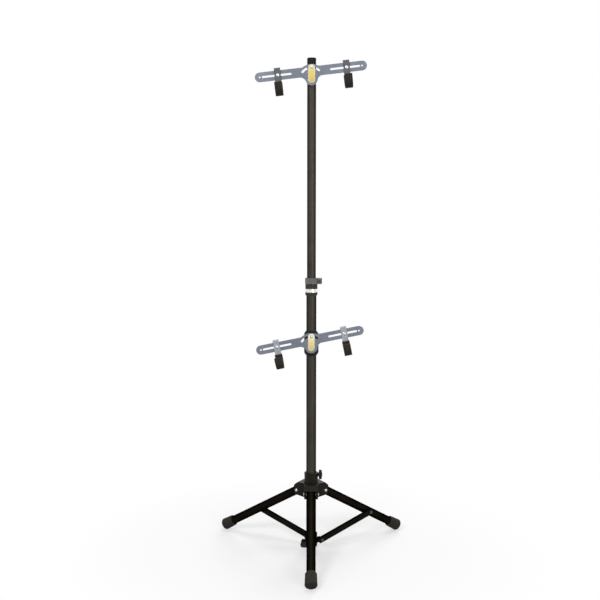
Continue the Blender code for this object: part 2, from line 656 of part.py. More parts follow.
def bar_outline():
    """Front view of a cradle bar, measured from its tilt pivot."""
    half = BAR_WIDTH / 2
    top = BAR_PIVOT_DROP + half
    bottom = BAR_PIVOT_DROP - half
    end = BAR_LENGTH / 2 - half
    dome_fillet_z = top + DOME_FILLET
    dome_reach = DOME_RADIUS + DOME_FILLET
    dome_fillet_x = math.sqrt(dome_reach ** 2 - dome_fillet_z ** 2)
    dome_angle = math.degrees(math.atan2(dome_fillet_z, dome_fillet_x))
    tongue_fillet_z = bottom - TONGUE_FILLET
    tongue_reach = TONGUE_RADIUS + TONGUE_FILLET
    tongue_fillet_x = math.sqrt(tongue_reach ** 2 - tongue_fillet_z ** 2)
    tongue_angle = math.degrees(math.atan2(tongue_fillet_z, tongue_fillet_x))
    right = (arc((0, 0), TONGUE_RADIUS, -90, tongue_angle)
             + arc((tongue_fillet_x, tongue_fillet_z), TONGUE_FILLET, 180 + tongue_angle, 90)[1:]
             + arc((end, BAR_PIVOT_DROP), half, -90, 90)
             + arc((dome_fillet_x, dome_fillet_z), DOME_FILLET, 270, 180 + dome_angle)
             + arc((0, 0), DOME_RADIUS, dome_angle, 90)[1:])
    left = [(-x, z) for x, z in reversed(right[1:-1])]
    return right + left


def lock_slot_outline():
    """The arc slot about the pivot, with round ends."""
    half = SLOT_WIDTH / 2
    low = 90 - LOCK_SLOT_HALF_ANGLE
    high = 90 + LOCK_SLOT_HALF_ANGLE

    def end(angle):
        spot = math.radians(angle)
        return (LOCK_RADIUS * math.cos(spot), LOCK_RADIUS * math.sin(spot))

    return (arc((0, 0), LOCK_RADIUS + half, low, high, 2 * ARC_STEPS)
            + arc(end(high), half, high, high + 180)[1:]
            + arc((0, 0), LOCK_RADIUS - half, high, low, 2 * ARC_STEPS)[1:]
            + arc(end(low), half, low + 180, low + 360)[1:-1])


def bar_mesh():
    """A slotted bar whose back lies in the plane of its pivot's origin."""
    outlines = [stadium(HOOK_SLOT_START, HOOK_SLOT_END, SLOT_WIDTH, BAR_PIVOT_DROP),
                stadium(-HOOK_SLOT_END, -HOOK_SLOT_START, SLOT_WIDTH, BAR_PIVOT_DROP),
                lock_slot_outline()]
    front = BAR_THICKNESS + CUT_OVERRUN
    slots = [plate(outline, -CUT_OVERRUN, front) for outline in outlines]
    for reach in (-END_HOLE_REACH, END_HOLE_REACH):
        slots.append(moved(rod(END_HOLE_RADIUS, -front, CUT_OVERRUN, axis="Y"), (reach, 0, BAR_PIVOT_DROP)))
    slots.append(rod(CRADLE_BOLT_RADIUS + HOLE_CLEARANCE, -front, CUT_OVERRUN, axis="Y"))
    return cut(plate(bar_outline(), 0, BAR_THICKNESS), *slots)


def strap_mesh():
    """The narrow plate over the bar, round at both ends, measured from the pivot."""
    half = STRAP_WIDTH / 2
    top = LOCK_RADIUS + STRAP_TOP
    outline = (arc((0, half - STRAP_BOTTOM), half, 180, 360) + arc((0, top - half), half, 0, 180))
    front = STRAP_THICKNESS + CUT_OVERRUN
    return cut(plate(outline, 0, STRAP_THICKNESS),
               rod(PIVOT_HEAD_RADIUS + HOLE_CLEARANCE, -front, CUT_OVERRUN, axis="Y"),
               moved(rod(CRADLE_BOLT_RADIUS + HOLE_CLEARANCE, -front, CUT_OVERRUN, axis="Y"),
                     (0, 0, LOCK_RADIUS)))


def cradle_bolt(head_radius, head_back, head_length, tip):
    """A bolt along Y, seen from the front; depths are measured forward from the bar's back."""
    return turn_to(turned([(0, -head_back - head_length), (head_radius, -head_back - head_length),
                           (head_radius, -head_back), (CRADLE_BOLT_RADIUS, -head_back),
                           (CRADLE_BOLT_RADIUS, -tip), (0, -tip)], BOLT_SIDES), "Y")


def hex_nut(back):
    """A nut on a cradle bolt, its front face `back` metres behind the bar's back."""
    nut = rod(NUT_RADIUS, back, back + NUT_THICKNESS, 6, "Y")
    behind = back + NUT_THICKNESS + CUT_OVERRUN
    return cut(nut, rod(CRADLE_BOLT_RADIUS + HOLE_CLEARANCE, back - CUT_OVERRUN, behind, axis="Y"))


def hook_path():
    """Depth of the stem's middle, and the height of the bend's centre, both from the bolt."""
    bend = HOOK_INNER_DEPTH / 2 + SLEEVE_THICKNESS + HOOK_THICKNESS / 2
    center = HOOK_BOTTOM + bend + HOOK_THICKNESS / 2 + SLEEVE_THICKNESS
    return bend, center


def hook_outline(grow, rear_top, front_top):
    """Side view of the J, from the stem's back: points are (forward, up)."""
    bend, center = hook_path()
    middle = HOOK_THICKNESS / 2
    half = middle + grow
    axis = middle + bend
    return ([(middle - half, rear_top)] + arc((axis, center), bend + half, 180, 360, 2 * ARC_STEPS)
            + [(axis + bend + half, front_top), (axis + bend - half, front_top)]
            + arc((axis, center), bend - half, 360, 180, 2 * ARC_STEPS) + [(middle + half, rear_top)])


def side_view(outline, width):
    """A (forward, up) outline given a width along X."""
    points = [(-forward, up) for forward, up in outline]
    return extruded(points, -width / 2, width / 2, (1, 2))


def hook_mesh():
    """A flat steel bar bent into a J, with a short lip turned back over the cradle bar."""
    strip = side_view(hook_outline(0, HOOK_TOP, HOOK_FRONT_TOP - SLEEVE_THICKNESS), HOOK_WIDTH)
    lip = box((-HOOK_WIDTH / 2, -HOOK_THICKNESS / 2, HOOK_TOP - HOOK_THICKNESS),
              (HOOK_WIDTH / 2, HOOK_LIP - HOOK_THICKNESS, HOOK_TOP))
    hole = rod(CRADLE_BOLT_RADIUS + HOLE_CLEARANCE, -HOOK_THICKNESS - CUT_OVERRUN, CUT_OVERRUN, axis="Y")
    return cut(join(strip, lip), hole)


def sleeve_mesh():
    """The rubber cover of the J, open at the top of the stem and closed over the front end."""
    outer = side_view(hook_outline(SLEEVE_THICKNESS, SLEEVE_TOP, HOOK_FRONT_TOP), SLEEVE_WIDTH)
    pocket = side_view(hook_outline(TOUCH_GAP, 0, HOOK_FRONT_TOP - SLEEVE_THICKNESS + TOUCH_GAP),
                       HOOK_WIDTH + 2 * TOUCH_GAP)
    return cut(outer, pocket)


def build_hooks(level, spots, tilting, metal, rubber, steel):
    """Two hooks on one bar, each held in its slot by a bolt and a nut."""
    hook = hook_mesh()
    sleeve = sleeve_mesh()
    front = BAR_THICKNESS + TOUCH_GAP
    bolt = cradle_bolt(HOOK_BOLT_HEAD_RADIUS, front + HOOK_THICKNESS + TOUCH_GAP, HOOK_BOLT_HEAD,
                       -NUT_THICKNESS - BOLT_END)
    nut = hex_nut(TOUCH_GAP)
    for side, reach in spots.items():
        sliding = carrier(f"{level}_{side}_hook_slide", (reach, 0, BAR_PIVOT_DROP), parent=tilting)
        add(f"{level}_{side}_hook", hook, metal, sliding, (0, -front, 0))
        add(f"{level}_{side}_hook_sleeve", sleeve, rubber, sliding, (0, -front, 0))
        add(f"{level}_{side}_hook_bolt", bolt, steel, sliding)
        add(f"{level}_{side}_hook_nut", nut, steel, sliding)


def build_bar(level, pivot, tilt, tip, parent, metal, silver, steel):
    """A bar, its strap and its two bolts, in front of what carries them."""
    back = Vector(pivot) - Vector((0, TOUCH_GAP, 0))
    tilting = carrier(f"{level}_bar_tilt", back, (0, -tilt, 0), parent)
    add(f"{level}_bar", bar_mesh(), metal, tilting)
    front = BAR_THICKNESS + TOUCH_GAP
    add(f"{level}_strap", strap_mesh(), silver, parent, back - Vector((0, front, 0)))
    lock = cradle_bolt(LOCK_HEAD_RADIUS, front + STRAP_THICKNESS + TOUCH_GAP, LOCK_HEAD, tip)
    add(f"{level}_lock_bolt", lock, steel, parent, back + Vector((0, 0, LOCK_RADIUS)))
    fixed = cradle_bolt(PIVOT_HEAD_RADIUS, front, STRAP_THICKNESS - TOUCH_GAP, tip)
    add(f"{level}_pivot_bolt", fixed, steel, parent, back)
    return tilting


def build_upper_cradle(sliding, plastic, metal, rubber, silver, steel):
    """The top cradle, bolted through the upper tube on a saddle block."""
    height = upper_pivot_lift()
    low = height - SADDLE_BELOW
    high = height + LOCK_RADIUS + SADDLE_ABOVE
    bolt_hole = rod(CRADLE_BOLT_RADIUS + HOLE_CLEARANCE, -SADDLE_REACH - CUT_OVERRUN, 0, axis="Y")
    saddle = cut(box((-SADDLE_HALF_WIDTH, -SADDLE_REACH, low), (SADDLE_HALF_WIDTH, -SADDLE_BACK, high)),
                 rod(UPPER_TUBE_RADIUS + TOUCH_GAP, low - CUT_OVERRUN, high + CUT_OVERRUN, TUBE_SIDES),
                 moved(bolt_hole, (0, 0, height)), moved(bolt_hole, (0, 0, height + LOCK_RADIUS)))
    add("upper_saddle", saddle, plastic, sliding)
    back = SADDLE_REACH + UPPER_TUBE_RADIUS + 2 * TOUCH_GAP
    tilting = build_bar("upper", (0, -SADDLE_REACH, height), UPPER_TILT, -back - NUT_THICKNESS - BOLT_END,
                        sliding, metal, silver, steel)
    nut = hex_nut(back)
    for name, lift in (("upper_pivot_nut", 0), ("upper_lock_nut", LOCK_RADIUS)):
        add(name, nut, steel, sliding, (0, -SADDLE_REACH - TOUCH_GAP, height + lift))
    build_hooks("upper", UPPER_HOOKS, tilting, metal, rubber, steel)


def build_lower_cradle(plastic, metal, rubber, silver, steel):
    """The lower cradle on a collar that slides on the lower tube, held by a knob behind."""
    sliding = carrier("lower_cradle_slide", (0, 0, LOWER_PIVOT_HEIGHT))
    radius = CRADLE_COLLAR_RADIUS
    slim = LOWER_TUBE_RADIUS + TOUCH_GAP + CRADLE_COLLAR_RIM
    low, high = -CRADLE_COLLAR_BELOW, CRADLE_COLLAR_ABOVE
    taper = CRADLE_COLLAR_TAPER
    body = turned([(0, low), (slim, low), (radius, low + taper), (radius, high - taper),
                   (slim, high), (0, high)])
    boss = box((-CRADLE_BOSS_HALF_WIDTH, -CRADLE_COLLAR_REACH, low + taper),
               (CRADLE_BOSS_HALF_WIDTH, 0, high - taper))
    knob_height = (low + high) / 2
    behind = moved(knob_boss(radius), (0, 0, knob_height), 90)
    body = join(body, boss, behind)
    depth = LOWER_TUBE_RADIUS + TOUCH_GAP + CRADLE_BOLT_WALL
    front = CRADLE_COLLAR_REACH + CUT_OVERRUN
    bolt_hole = rod(CRADLE_BOLT_RADIUS + HOLE_CLEARANCE, -front, -depth, axis="Y")
    body = cut(body, rod(LOWER_TUBE_RADIUS + TOUCH_GAP, low - CUT_OVERRUN, high + CUT_OVERRUN, TUBE_SIDES),
               bolt_hole, moved(bolt_hole, (0, 0, LOCK_RADIUS)),
               moved(knob_hole(radius), (0, 0, knob_height), 90))
    add("lower_cradle_collar", body, plastic, sliding)
    turning = carrier("lower_cradle_knob_axis", (0, 0, knob_height), (0, 0, 90), sliding)
    add("lower_cradle_knob", knob(knob_seat(radius)), plastic, turning)
    tip = depth + TOUCH_GAP - CRADLE_COLLAR_REACH
    tilting = build_bar("lower", (0, -CRADLE_COLLAR_REACH, 0), LOWER_TILT, tip, sliding,
                        metal, silver, steel)
    build_hooks("lower", LOWER_HOOKS, tilting, metal, rubber, steel)


def main():
    clear_scene()
    black = finish("black_powder_coat", (0.022, 0.022, 0.020), 0.42, 0.0)
    plastic = finish("black_nylon", (0.026, 0.024, 0.023), 0.55, 0.0)
    rubber = finish("black_rubber", (0.030, 0.028, 0.026), 0.8, 0.0)
    metal = finish("blue_grey_steel", (0.22, 0.25, 0.29), 0.45, 0.6)
    silver = finish("silver_steel", (0.72, 0.71, 0.68), 0.3, 0.9)
    steel = finish("zinc_steel", (0.62, 0.63, 0.64), 0.35, 0.95)
    dark_steel = finish("dark_steel", (0.14, 0.14, 0.14), 0.4, 0.8)
    sliding = build_mast(black, plastic)
    build_telescoping_collar(plastic, silver, dark_steel)
    build_legs(build_hub(plastic, steel), black, rubber)
    build_lower_collar(black, dark_steel)
    build_struts(black, dark_steel)
    build_upper_cradle(sliding, plastic, metal, rubber, silver, steel)
    build_lower_cradle(plastic, metal, rubber, silver, steel)


main()
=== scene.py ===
"""Looks for the two-bicycle storage stand: finished pieces, materials, light and camera.

Every length is in metres, in the same frame as the CAD model.
"""
import json
import math
from types import SimpleNamespace

import bmesh
import bpy
from mathutils import Euler, Matrix, Vector

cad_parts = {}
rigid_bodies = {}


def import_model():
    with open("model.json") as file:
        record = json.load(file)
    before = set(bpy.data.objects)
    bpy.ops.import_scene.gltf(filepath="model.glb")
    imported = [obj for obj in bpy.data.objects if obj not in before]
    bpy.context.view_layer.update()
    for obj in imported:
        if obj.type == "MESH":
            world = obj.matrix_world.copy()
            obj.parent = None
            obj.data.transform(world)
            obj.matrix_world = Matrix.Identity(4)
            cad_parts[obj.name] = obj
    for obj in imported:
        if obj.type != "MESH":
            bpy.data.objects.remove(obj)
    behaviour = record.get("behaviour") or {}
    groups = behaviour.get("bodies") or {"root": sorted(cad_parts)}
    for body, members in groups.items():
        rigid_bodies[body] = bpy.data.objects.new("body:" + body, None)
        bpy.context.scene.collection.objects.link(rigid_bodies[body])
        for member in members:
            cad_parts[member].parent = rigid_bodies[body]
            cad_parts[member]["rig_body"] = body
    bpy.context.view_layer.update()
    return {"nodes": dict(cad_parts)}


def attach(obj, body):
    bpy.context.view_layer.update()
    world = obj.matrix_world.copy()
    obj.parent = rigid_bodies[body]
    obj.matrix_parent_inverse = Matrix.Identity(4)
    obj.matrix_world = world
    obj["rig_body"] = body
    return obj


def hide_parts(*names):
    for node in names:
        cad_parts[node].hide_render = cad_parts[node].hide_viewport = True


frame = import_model()

# Camera, from the photograph: 600 pixels square, the mast 11 pixels right of the middle
FRAME_PIXELS = 600
FOCAL_PIXELS = 926.0
MAST_PIXEL = 311.45
CAMERA_DROP_PIXELS = 100.0
CAMERA_DISTANCE = 3.68
CAMERA_HEIGHT = 1.42
SENSOR_WIDTH = 36
CLIP_END = 60

# Lengths and angles. A table of pairs is a profile: steps outward and upward from a radius and a height.

# Clearances
TOUCH_GAP = 0.0003
HOLE_CLEARANCE = 0.0003
SIDE_PLAY = 0.0008
CUT_OVERRUN = 0.010

# Mast
MAST_HEIGHT = 1.969
LOWER_TUBE_RADIUS = 0.020
UPPER_TUBE_RADIUS = 0.0175
LOWER_BORE = LOWER_TUBE_RADIUS + TOUCH_GAP
UPPER_BORE = UPPER_TUBE_RADIUS + TOUCH_GAP
TUBE_WALL = 0.0015
LOWER_TUBE_TOP = 1.060
UPPER_TUBE_LENGTH = 1.165
TOP_CAP_HEIGHT = 0.029
TOP_CAP_RIM = 0.0003
TOP_CAP_SPIGOT = 0.006
TOP_CAP_CHAMFER = 0.003
TOP_CAP_GROOVE = ((-0.0004, 0), (0, 0.0005), (0, 0.0040), (-0.0004, 0.0044), (-0.0004, 0.0054), (0, 0.0058))
TOP_CAP_DISH_RIM = 0.0075
TOP_CAP_DISH_SLOPE = 0.0005
TOP_CAP_DISH_DEPTH = 0.0006
BASE_FLANGE_HEIGHT = 0.004
BASE_SPIGOT = 0.026

# Telescoping collar and its quick release
COLLAR_SKIRT = 0.019
COLLAR_LIP = 0.0015
COLLAR_LIP_HEIGHT = 0.004
COLLAR_FLANGE_RADIUS = 0.0246
COLLAR_FLANGE_TOP = -0.006
COLLAR_BODY_RADIUS = 0.0243
COLLAR_BODY_BOTTOM = 0.0085
COLLAR_BODY_TOP = 0.0268
COLLAR_NECK_WALL = 0.0022
COLLAR_NECK_TOP = 0.0495
RING_THICKNESS = 0.0024
BAND_THICKNESS = 0.0051
BAND_HEIGHT = 0.024
BAND_GROOVE_SHARES = (0.3, 0.7)
BAND_GROOVE = ((0, -0.0007), (-0.0005, -0.0003), (-0.0005, 0.0003), (0, 0.0007))
EAR_REACH = 0.042
EAR_THICKNESS = 0.0075
EAR_SLIT = 0.003
CLAMP_BOLT_X = 0.034
CLAMP_BOLT_RADIUS = 0.003
CLAMP_BARREL_LENGTH = 0.018
CLAMP_HEAD_RADIUS = 0.0055
CLAMP_HEAD = 0.004
CAM_RADIUS = 0.0075
LEVER_HEIGHT = 0.020
LEVER_ARM_RADIUS = 0.0275
LEVER_ARM_THICKNESS = 0.0045
LEVER_ARM_START = -26.0
LEVER_ARM_END = -112.0

# Tripod
LEG_AZIMUTHS = {"front": -90.0, "right": 30.0, "left": 150.0}
LEG_ANGLE = 30.4
LEG_TUBE_RADIUS = 0.0175
HINGE_REACH = 0.053
HINGE_HEIGHT = 0.2405
LEG_STUB = 0.009
FOOT_LENGTH = 0.055
FOOT_SOLE = 0.006
FOOT_TOP_RADIUS = 0.0222
FOOT_TIP_RADIUS = 0.0240
FOOT_ROUNDING = 0.005
FOOT_LIP = 0.004
FOOT_MOUTH_WIDTH = 0.0008
FOOT_MOUTH_RISE = 0.0004
FOOT_RIBS = 3
FOOT_RIB_START = 0.004
FOOT_RIB_PITCH = 0.0042
FOOT_RIB = ((0, 0), (-0.0007, 0.0005), (-0.0007, 0.0013), (0, 0.0018))
SOLE_RINGS = (0.0172, 0.0132, 0.0092, 0.0052)
SOLE_GROOVE = ((0, 0), (-0.0005, -0.0007), (-0.0014, -0.0007), (-0.0019, 0))
HUB_RADIUS = 0.0275
HUB_RIM = 0.0008
HUB_RIM_PROFILE = ((-HUB_RIM, -0.0062), (0, -0.0056), (0, -0.0014), (-0.0012, 0))
HUB_BELOW_HINGE = 0.0305
HUB_ABOVE_HINGE = 0.0755
HUB_KNOB_ABOVE_HINGE = 0.0665
CHEEK_ROOT = 0.002
CHEEK_THICKNESS = 0.0098
CHEEK_TOP = 0.0335
CHEEK_BOTTOM = -0.0265
CHEEK_NOSE = 0.0115
CHEEK_NOSE_ANGLE = 40.0
CHEEK_SHOULDER = -0.0032
CHEEK_CHIN_REACH = 0.0092
CHEEK_CHIN_HEIGHT = -0.018
ROOF_EDGE_REACH = 0.0105
ROOF_EDGE_HEIGHT = 0.0225
ROOF_LIP_REACH = 0.0135
ROOF_LIP_HEIGHT = 0.0152
ROOF_LIP_OVERRUN = 4
ROOF_ARC_START_ANGLE = 52.0
ROOF_ARC_END_ANGLE = 140.0
HINGE_BOLT_RADIUS = 0.004
HINGE_BOLT_HEAD_RADIUS = 0.006
HINGE_BOLT_HEAD = 0.0035
LOWER_COLLAR_WALL = 0.0047
LOWER_COLLAR_BOTTOM = 0.008
LOWER_COLLAR_TOP = 0.062
STRUT_PIVOT_REACH = 0.032
STRUT_PIVOT_HEIGHT = 0.0354
LEG_PIVOT_DISTANCE = 0.2516
STRUT_HALF_WIDTH = 0.0100
STRUT_WALL = 0.0015
STRUT_CORNER = 0.0018
STRUT_END = 0.011
STRUT_PLUG_PROUD = 0.0012
STRUT_PLUG_DEPTH = 0.0010
LUG_THICKNESS = 0.006
LUG_END_RADIUS = 0.0095
LUG_UNDERSIDE_ANGLE = 24.0
PIN_RADIUS = 0.004
PIN_HEAD_RADIUS = 0.0065
PIN_HEAD = 0.003
PIN_INNER_HEAD_RADIUS = 0.0055
RIVET_INSET = 0.001

# Screw knobs
KNOB_RADIUS = 0.019
KNOB_THICKNESS = 0.012
KNOB_LOBES = 10
KNOB_LOBE_STEPS = 12
KNOB_GROOVE = 0.0016
KNOB_CAP = ((0, -0.0020), (0.0095, -0.0020), (0.0095, 0.0006), (0.0085, 0.0014), (0.0040, 0.0020),
            (0, 0.0022))
KNOB_SCREW_RADIUS = 0.003
KNOB_BOSS_RADIUS = 0.0085
KNOB_BOSS_REACH = 0.0035

# Cradle bars
UPPER_PIVOT_DROP = 0.0845
LOWER_PIVOT_HEIGHT = 0.836
UPPER_TILT = 6.4
LOWER_TILT = 11.5
BAR_LENGTH = 0.436
BAR_WIDTH = 0.037
BAR_THICKNESS = 0.004
BAR_PIVOT_DROP = 0.0296
LOCK_RADIUS = 0.0445
LOCK_SLOT_HALF_ANGLE = 46.0
TONGUE_RADIUS = 0.0235
TONGUE_FILLET = 0.024
DOME_RADIUS = 0.0575
DOME_FILLET = 0.020
SLOT_WIDTH = 0.008
HOOK_SLOT_START = 0.079
HOOK_SLOT_END = 0.187
END_HOLE_REACH = 0.199
END_HOLE_RADIUS = 0.0035

# Saddle, cradle collar and clamp strap
SADDLE_REACH = 0.0235
SADDLE_HALF_WIDTH = 0.0165
SADDLE_BACK = 0.010
SADDLE_BELOW = 0.018
SADDLE_ABOVE = 0.0135
CRADLE_COLLAR_RADIUS = 0.029
CRADLE_COLLAR_REACH = 0.031
CRADLE_COLLAR_BELOW = 0.036
CRADLE_COLLAR_ABOVE = 0.063
CRADLE_COLLAR_TAPER = 0.011
CRADLE_COLLAR_RIM = 0.0017
CRADLE_BOLT_WALL = 0.0012
CRADLE_BOSS_HALF_WIDTH = 0.023
STRAP_WIDTH = 0.027
STRAP_THICKNESS = 0.003
STRAP_TOP = 0.0115
STRAP_BOTTOM = 0.0145
CRADLE_BOLT_RADIUS = 0.003
LOCK_HEAD_RADIUS = 0.0056
LOCK_HEAD = 0.005
PIVOT_HEAD_RADIUS = 0.006
NUT_RADIUS = 0.0062
NUT_THICKNESS = 0.0055
NUT_FLANGE_REACH = 0.0012
NUT_FLANGE_THICKNESS = 0.0012
NUT_FLANGE = ((NUT_FLANGE_REACH, 0), (0.0010, 0.0008), (0.0002, 0.0014))
NUT_WAIST_SHARE = 1.02
NUT_WAIST_DEPTH = 0.0010
NUT_END_SHARE = 0.88
BOLT_END = 0.0015
BOLT_TIP_SHARE = 0.2
DOME_RIM_SHARE = 0.3

# Stickers and fastener details
STICKER_THICKNESS = 0.0002
STICKER_MARGIN = 0.0012
STICKER_GAP = 0.00002
SOCKET_RADIUS = 0.0024
SOCKET_DEPTH_SHARE = 0.6
FLUSH_SOCKET_SHARE = 0.7

# Hooks
HOOK_REACHES = {"upper": {"left": -0.129, "right": 0.139}, "lower": {"left": -0.134, "right": 0.139}}
HOOK_WIDTH = 0.025
HOOK_THICKNESS = 0.005
HOOK_TOP = 0.0285
HOOK_LIP = 0.014
HOOK_BEND = 0.004
HOOK_INNER_DEPTH = 0.058
HOOK_BOTTOM = -0.083
HOOK_FRONT_TOP = -0.033
SLEEVE_THICKNESS = 0.003
SLEEVE_WIDTH = 0.030
SLEEVE_TOP = -0.030
RIB_WIDTH = 0.0018
RIB_HEIGHT = 0.0006
RIB_SHARES = (-0.3, -0.1, 0.1, 0.3)
HOOK_BOLT_HEAD_RADIUS = 0.0065
HOOK_BOLT_HEAD = 0.003

# Roundness
TUBE_SIDES = 96
BOLT_SIDES = 36
HEXAGON_SIDES = 6
ARC_STEPS = 16
CORNER_STEPS = 8
CREASE_ANGLE = 33.0
MERGE_DISTANCE = 0.000002

# Rounded edges
PIECE_EDGE = 0.0005
JOINED_EDGE = 0.0008
EDGE_STEPS = 3
EDGE_ANGLE = 38.0
BAND_EDGE = 0.0006
BAND_EDGE_ANGLE = 60.0
EAR_EDGE = 0.0012
LEVER_EDGE = 0.0022
PLUG_EDGE = 0.0006
BAR_EDGE = 0.0011
HOOK_EDGE = 0.0009
SLEEVE_EDGE = 0.0009
RIB_EDGE = 0.00048
CRADLE_COLLAR_EDGE = 0.002
CRADLE_COLLAR_EDGE_ANGLE = 25.0

# Stage and light
FLOOR_LOW = (-9, -6, -0.02)
FLOOR_HIGH = (9, 12, -0.0008)
FLOOR_SHADE = 0.86
FLOOR_ROUGHNESS = 0.9
FADE_START = 0.35
FADE_END = 1.0
FADE_LEAST = 0.45
BOUNCE = 0.3
LAMPS = (("key", (-2.1, -4.2, 3.9), 1.8, 150), ("fill", (2.3, -4.0, 1.5), 1.8, 75),
         ("top", (0.2, 0.6, 3.9), 2.4, 40), ("back", (1.2, 3.6, 2.2), 2.0, 70))
LAMP_TARGET = (0, 0, 0.9)


class Graph:
    """The shader nodes of one material or of the world."""

    def __init__(self, owner):
        owner.use_nodes = True
        self.nodes, self.links = owner.node_tree.nodes, owner.node_tree.links

    def feed(self, socket, value):
        """Link a socket to another node's output, or give it a value."""
        if isinstance(value, bpy.types.NodeSocket):
            self.links.new(value, socket)
        elif value is not None:
            socket.default_value = value

    def node(self, kind, output, *values, options=(), **inputs):
        """One output of a new node, whose inputs are fed by their order or by their names."""
        made = self.nodes.new("ShaderNode" + kind)
        for option, choice in options:
            setattr(made, option, choice)
        for socket, value in zip(made.inputs, values):
            self.feed(socket, value)
        for name, value in inputs.items():
            self.feed(made.inputs[name.replace("_", " ")], value)
        return made.outputs[output]

    def math(self, operation, first, second):
        return self.node("Math", "Value", first, second, options=(("operation", operation),))

    def spread(self, value, low, high, start=0.3, end=0.7):
        """A value between low and high as the source goes from start to end."""
        return self.node("MapRange", "Result", Value=value, From_Min=start, From_Max=end,
                         To_Min=low, To_Max=high)

    def background_rays(self):
        """One for the rays that see the background: from the camera, mirrored or through glass."""
        path = self.nodes.new("ShaderNodeLightPath")
        seen = path.outputs["Is Camera Ray"]
        for kind in ("Is Glossy Ray", "Is Transmission Ray"):
            seen = self.math("MAXIMUM", seen, path.outputs[kind])
        return seen


class Surface(Graph):
    """One procedural finish on a Principled shader."""

    def __init__(self, name, **sockets):
        self.material = bpy.data.materials.new(name)
        super().__init__(self.material)
        self.shader = self.nodes["Principled BSDF"]
        self.set(**sockets)

    def set(self, **sockets):
        for name, value in sockets.items():
            self.feed(self.shader.inputs[name.replace("_", " ")], value)

    def place(self, stretch=(1, 1, 1)):
        """Object coordinates, stretched along the axes."""
        return self.node("Mapping", "Vector", Vector=self.node("TexCoord", "Object"), Scale=stretch)

    def height(self):
        """How high a point of the piece lies in its own frame."""
        return self.node("SeparateXYZ", "Z", Vector=self.place())

    def noise(self, scale, detail=4.0, stretch=(1, 1, 1), roughness=0.55, distortion=0.0):
        return self.node("TexNoise", "Fac", Vector=self.place(stretch), Scale=scale, Detail=detail,
                         Roughness=roughness, Distortion=distortion)

    def cells(self, scale):
        return self.node("TexVoronoi", "Distance", Vector=self.place(), Scale=scale)

    def colors(self, value, *stops):
        """A colour ramp: stops are (position, (red, green, blue))."""
        node = self.nodes.new("ShaderNodeValToRGB")
        ramp = node.color_ramp
        while len(ramp.elements) < len(stops):
            ramp.elements.new(0.5)
        for element, (spot, color) in zip(ramp.elements, stops):
            element.position = spot
            element.color = (*color, 1.0)
        self.links.new(value, node.inputs["Fac"])
        return node.outputs["Color"]

    def mix(self, factor, first, second):
        return self.node("Mix", "Result", options=(("data_type", "RGBA"),), Factor=factor, A=first, B=second)

    def worn(self, base, wear, color, most, start, end):
        """The base colour, mixed with another one where the wear lies between start and end."""
        return self.mix(self.spread(wear, 0.0, most, start, end), base, (*color, 1.0))

    def finish(self, color, roughness, *layers):
        """Colour, roughness, and layers of bump: (height, depth in metres, strength)."""
        normal = None
        for height, depth, strength in layers:
            normal = self.node("Bump", "Normal", Strength=strength, Distance=depth, Height=height,
                               Normal=normal)
        self.set(Base_Color=color, Roughness=roughness, Normal=normal)
        return self.material


def paler(color, gain, lift=0.0):
    return tuple(min(1.0, channel * gain + lift) for channel in color)


def powder_coat(name, dark, light, roughness, flakes=0.0, **sockets):
    """Baked powder coat: orange peel, slow shade changes, fine scuffs, and metal flakes in some."""
    paint = Surface(name, **sockets)
    shade = paint.noise(14, 3)
    scuffs = paint.noise(60, 8, stretch=(9, 9, 1), roughness=0.7)
    color = paint.worn(paint.colors(shade, (0.3, dark), (0.7, light)), scuffs, paler(light, 1.5, 0.006),
                       0.5, 0.62, 0.74)
    if flakes:
        color = paint.worn(color, paint.noise(2600, 2), paler(light, 1 + flakes), 0.6, 0.52, 0.68)
    gloss = paint.spread(paint.math("ADD", shade, scuffs), roughness - 0.06, roughness + 0.1, 0.7, 1.3)
    return paint.finish(color, gloss, (paint.noise(520, 3), 0.00012, 0.35),
                        (paint.cells(1400), 0.00004, 0.25))


def moulded(name, dark, light, roughness=0.48):
    """Moulded nylon: spark-eroded grain, flow marks and a little dust."""
    nylon = Surface(name, Specular_IOR_Level=0.1)
    flow = nylon.noise(22, 4, stretch=(1, 1, 0.35), roughness=0.6, distortion=1.2)
    dust = nylon.noise(180, 6, roughness=0.65)
    color = nylon.worn(nylon.colors(flow, (0.32, dark), (0.68, light)), dust, paler(light, 1.5, 0.006),
                       0.45, 0.6, 0.78)
    return nylon.finish(color, nylon.spread(flow, roughness - 0.07, roughness + 0.1),
                        (nylon.cells(1500), 0.00008, 0.5), (nylon.noise(600, 3), 0.00008, 0.4))


def rubber_finish(name, dark, light):
    """Moulded rubber: dull, finely pitted, with bloom and scuffs."""
    rubber = Surface(name, Specular_IOR_Level=0.1)
    bloom = rubber.noise(30, 5, roughness=0.6)
    scuffs = rubber.noise(240, 7, stretch=(1, 1, 3), roughness=0.7)
    color = rubber.worn(rubber.colors(bloom, (0.3, dark), (0.7, light)), scuffs, paler(light, 1.6, 0.008),
                        0.4, 0.58, 0.75)
    return rubber.finish(color, rubber.spread(bloom, 0.66, 0.84), (rubber.noise(900, 4), 0.00015, 0.5),
                         (rubber.cells(420), 0.00008, 0.25))


def bare_metal(name, dark, light, roughness, grain=(1, 1, 1), scale=900, metallic=1.0):
    """Plated or brushed metal: grain along one way, tarnish, and fine pits."""
    metal = Surface(name, Metallic=metallic)
    brushed = metal.noise(scale, 6, stretch=grain, roughness=0.6)
    stain = metal.noise(45, 5, roughness=0.6)
    color = metal.mix(metal.spread(stain, 0.15, 0.85), metal.colors(brushed, (0.3, dark), (0.7, light)),
                      (*light, 1.0))
    gloss = metal.spread(metal.math("ADD", brushed, stain), roughness - 0.07, roughness + 0.12, 0.7, 1.3)
    return metal.finish(color, gloss, (brushed, 0.00003, 0.35), (metal.noise(2400, 2), 0.00002, 0.2))


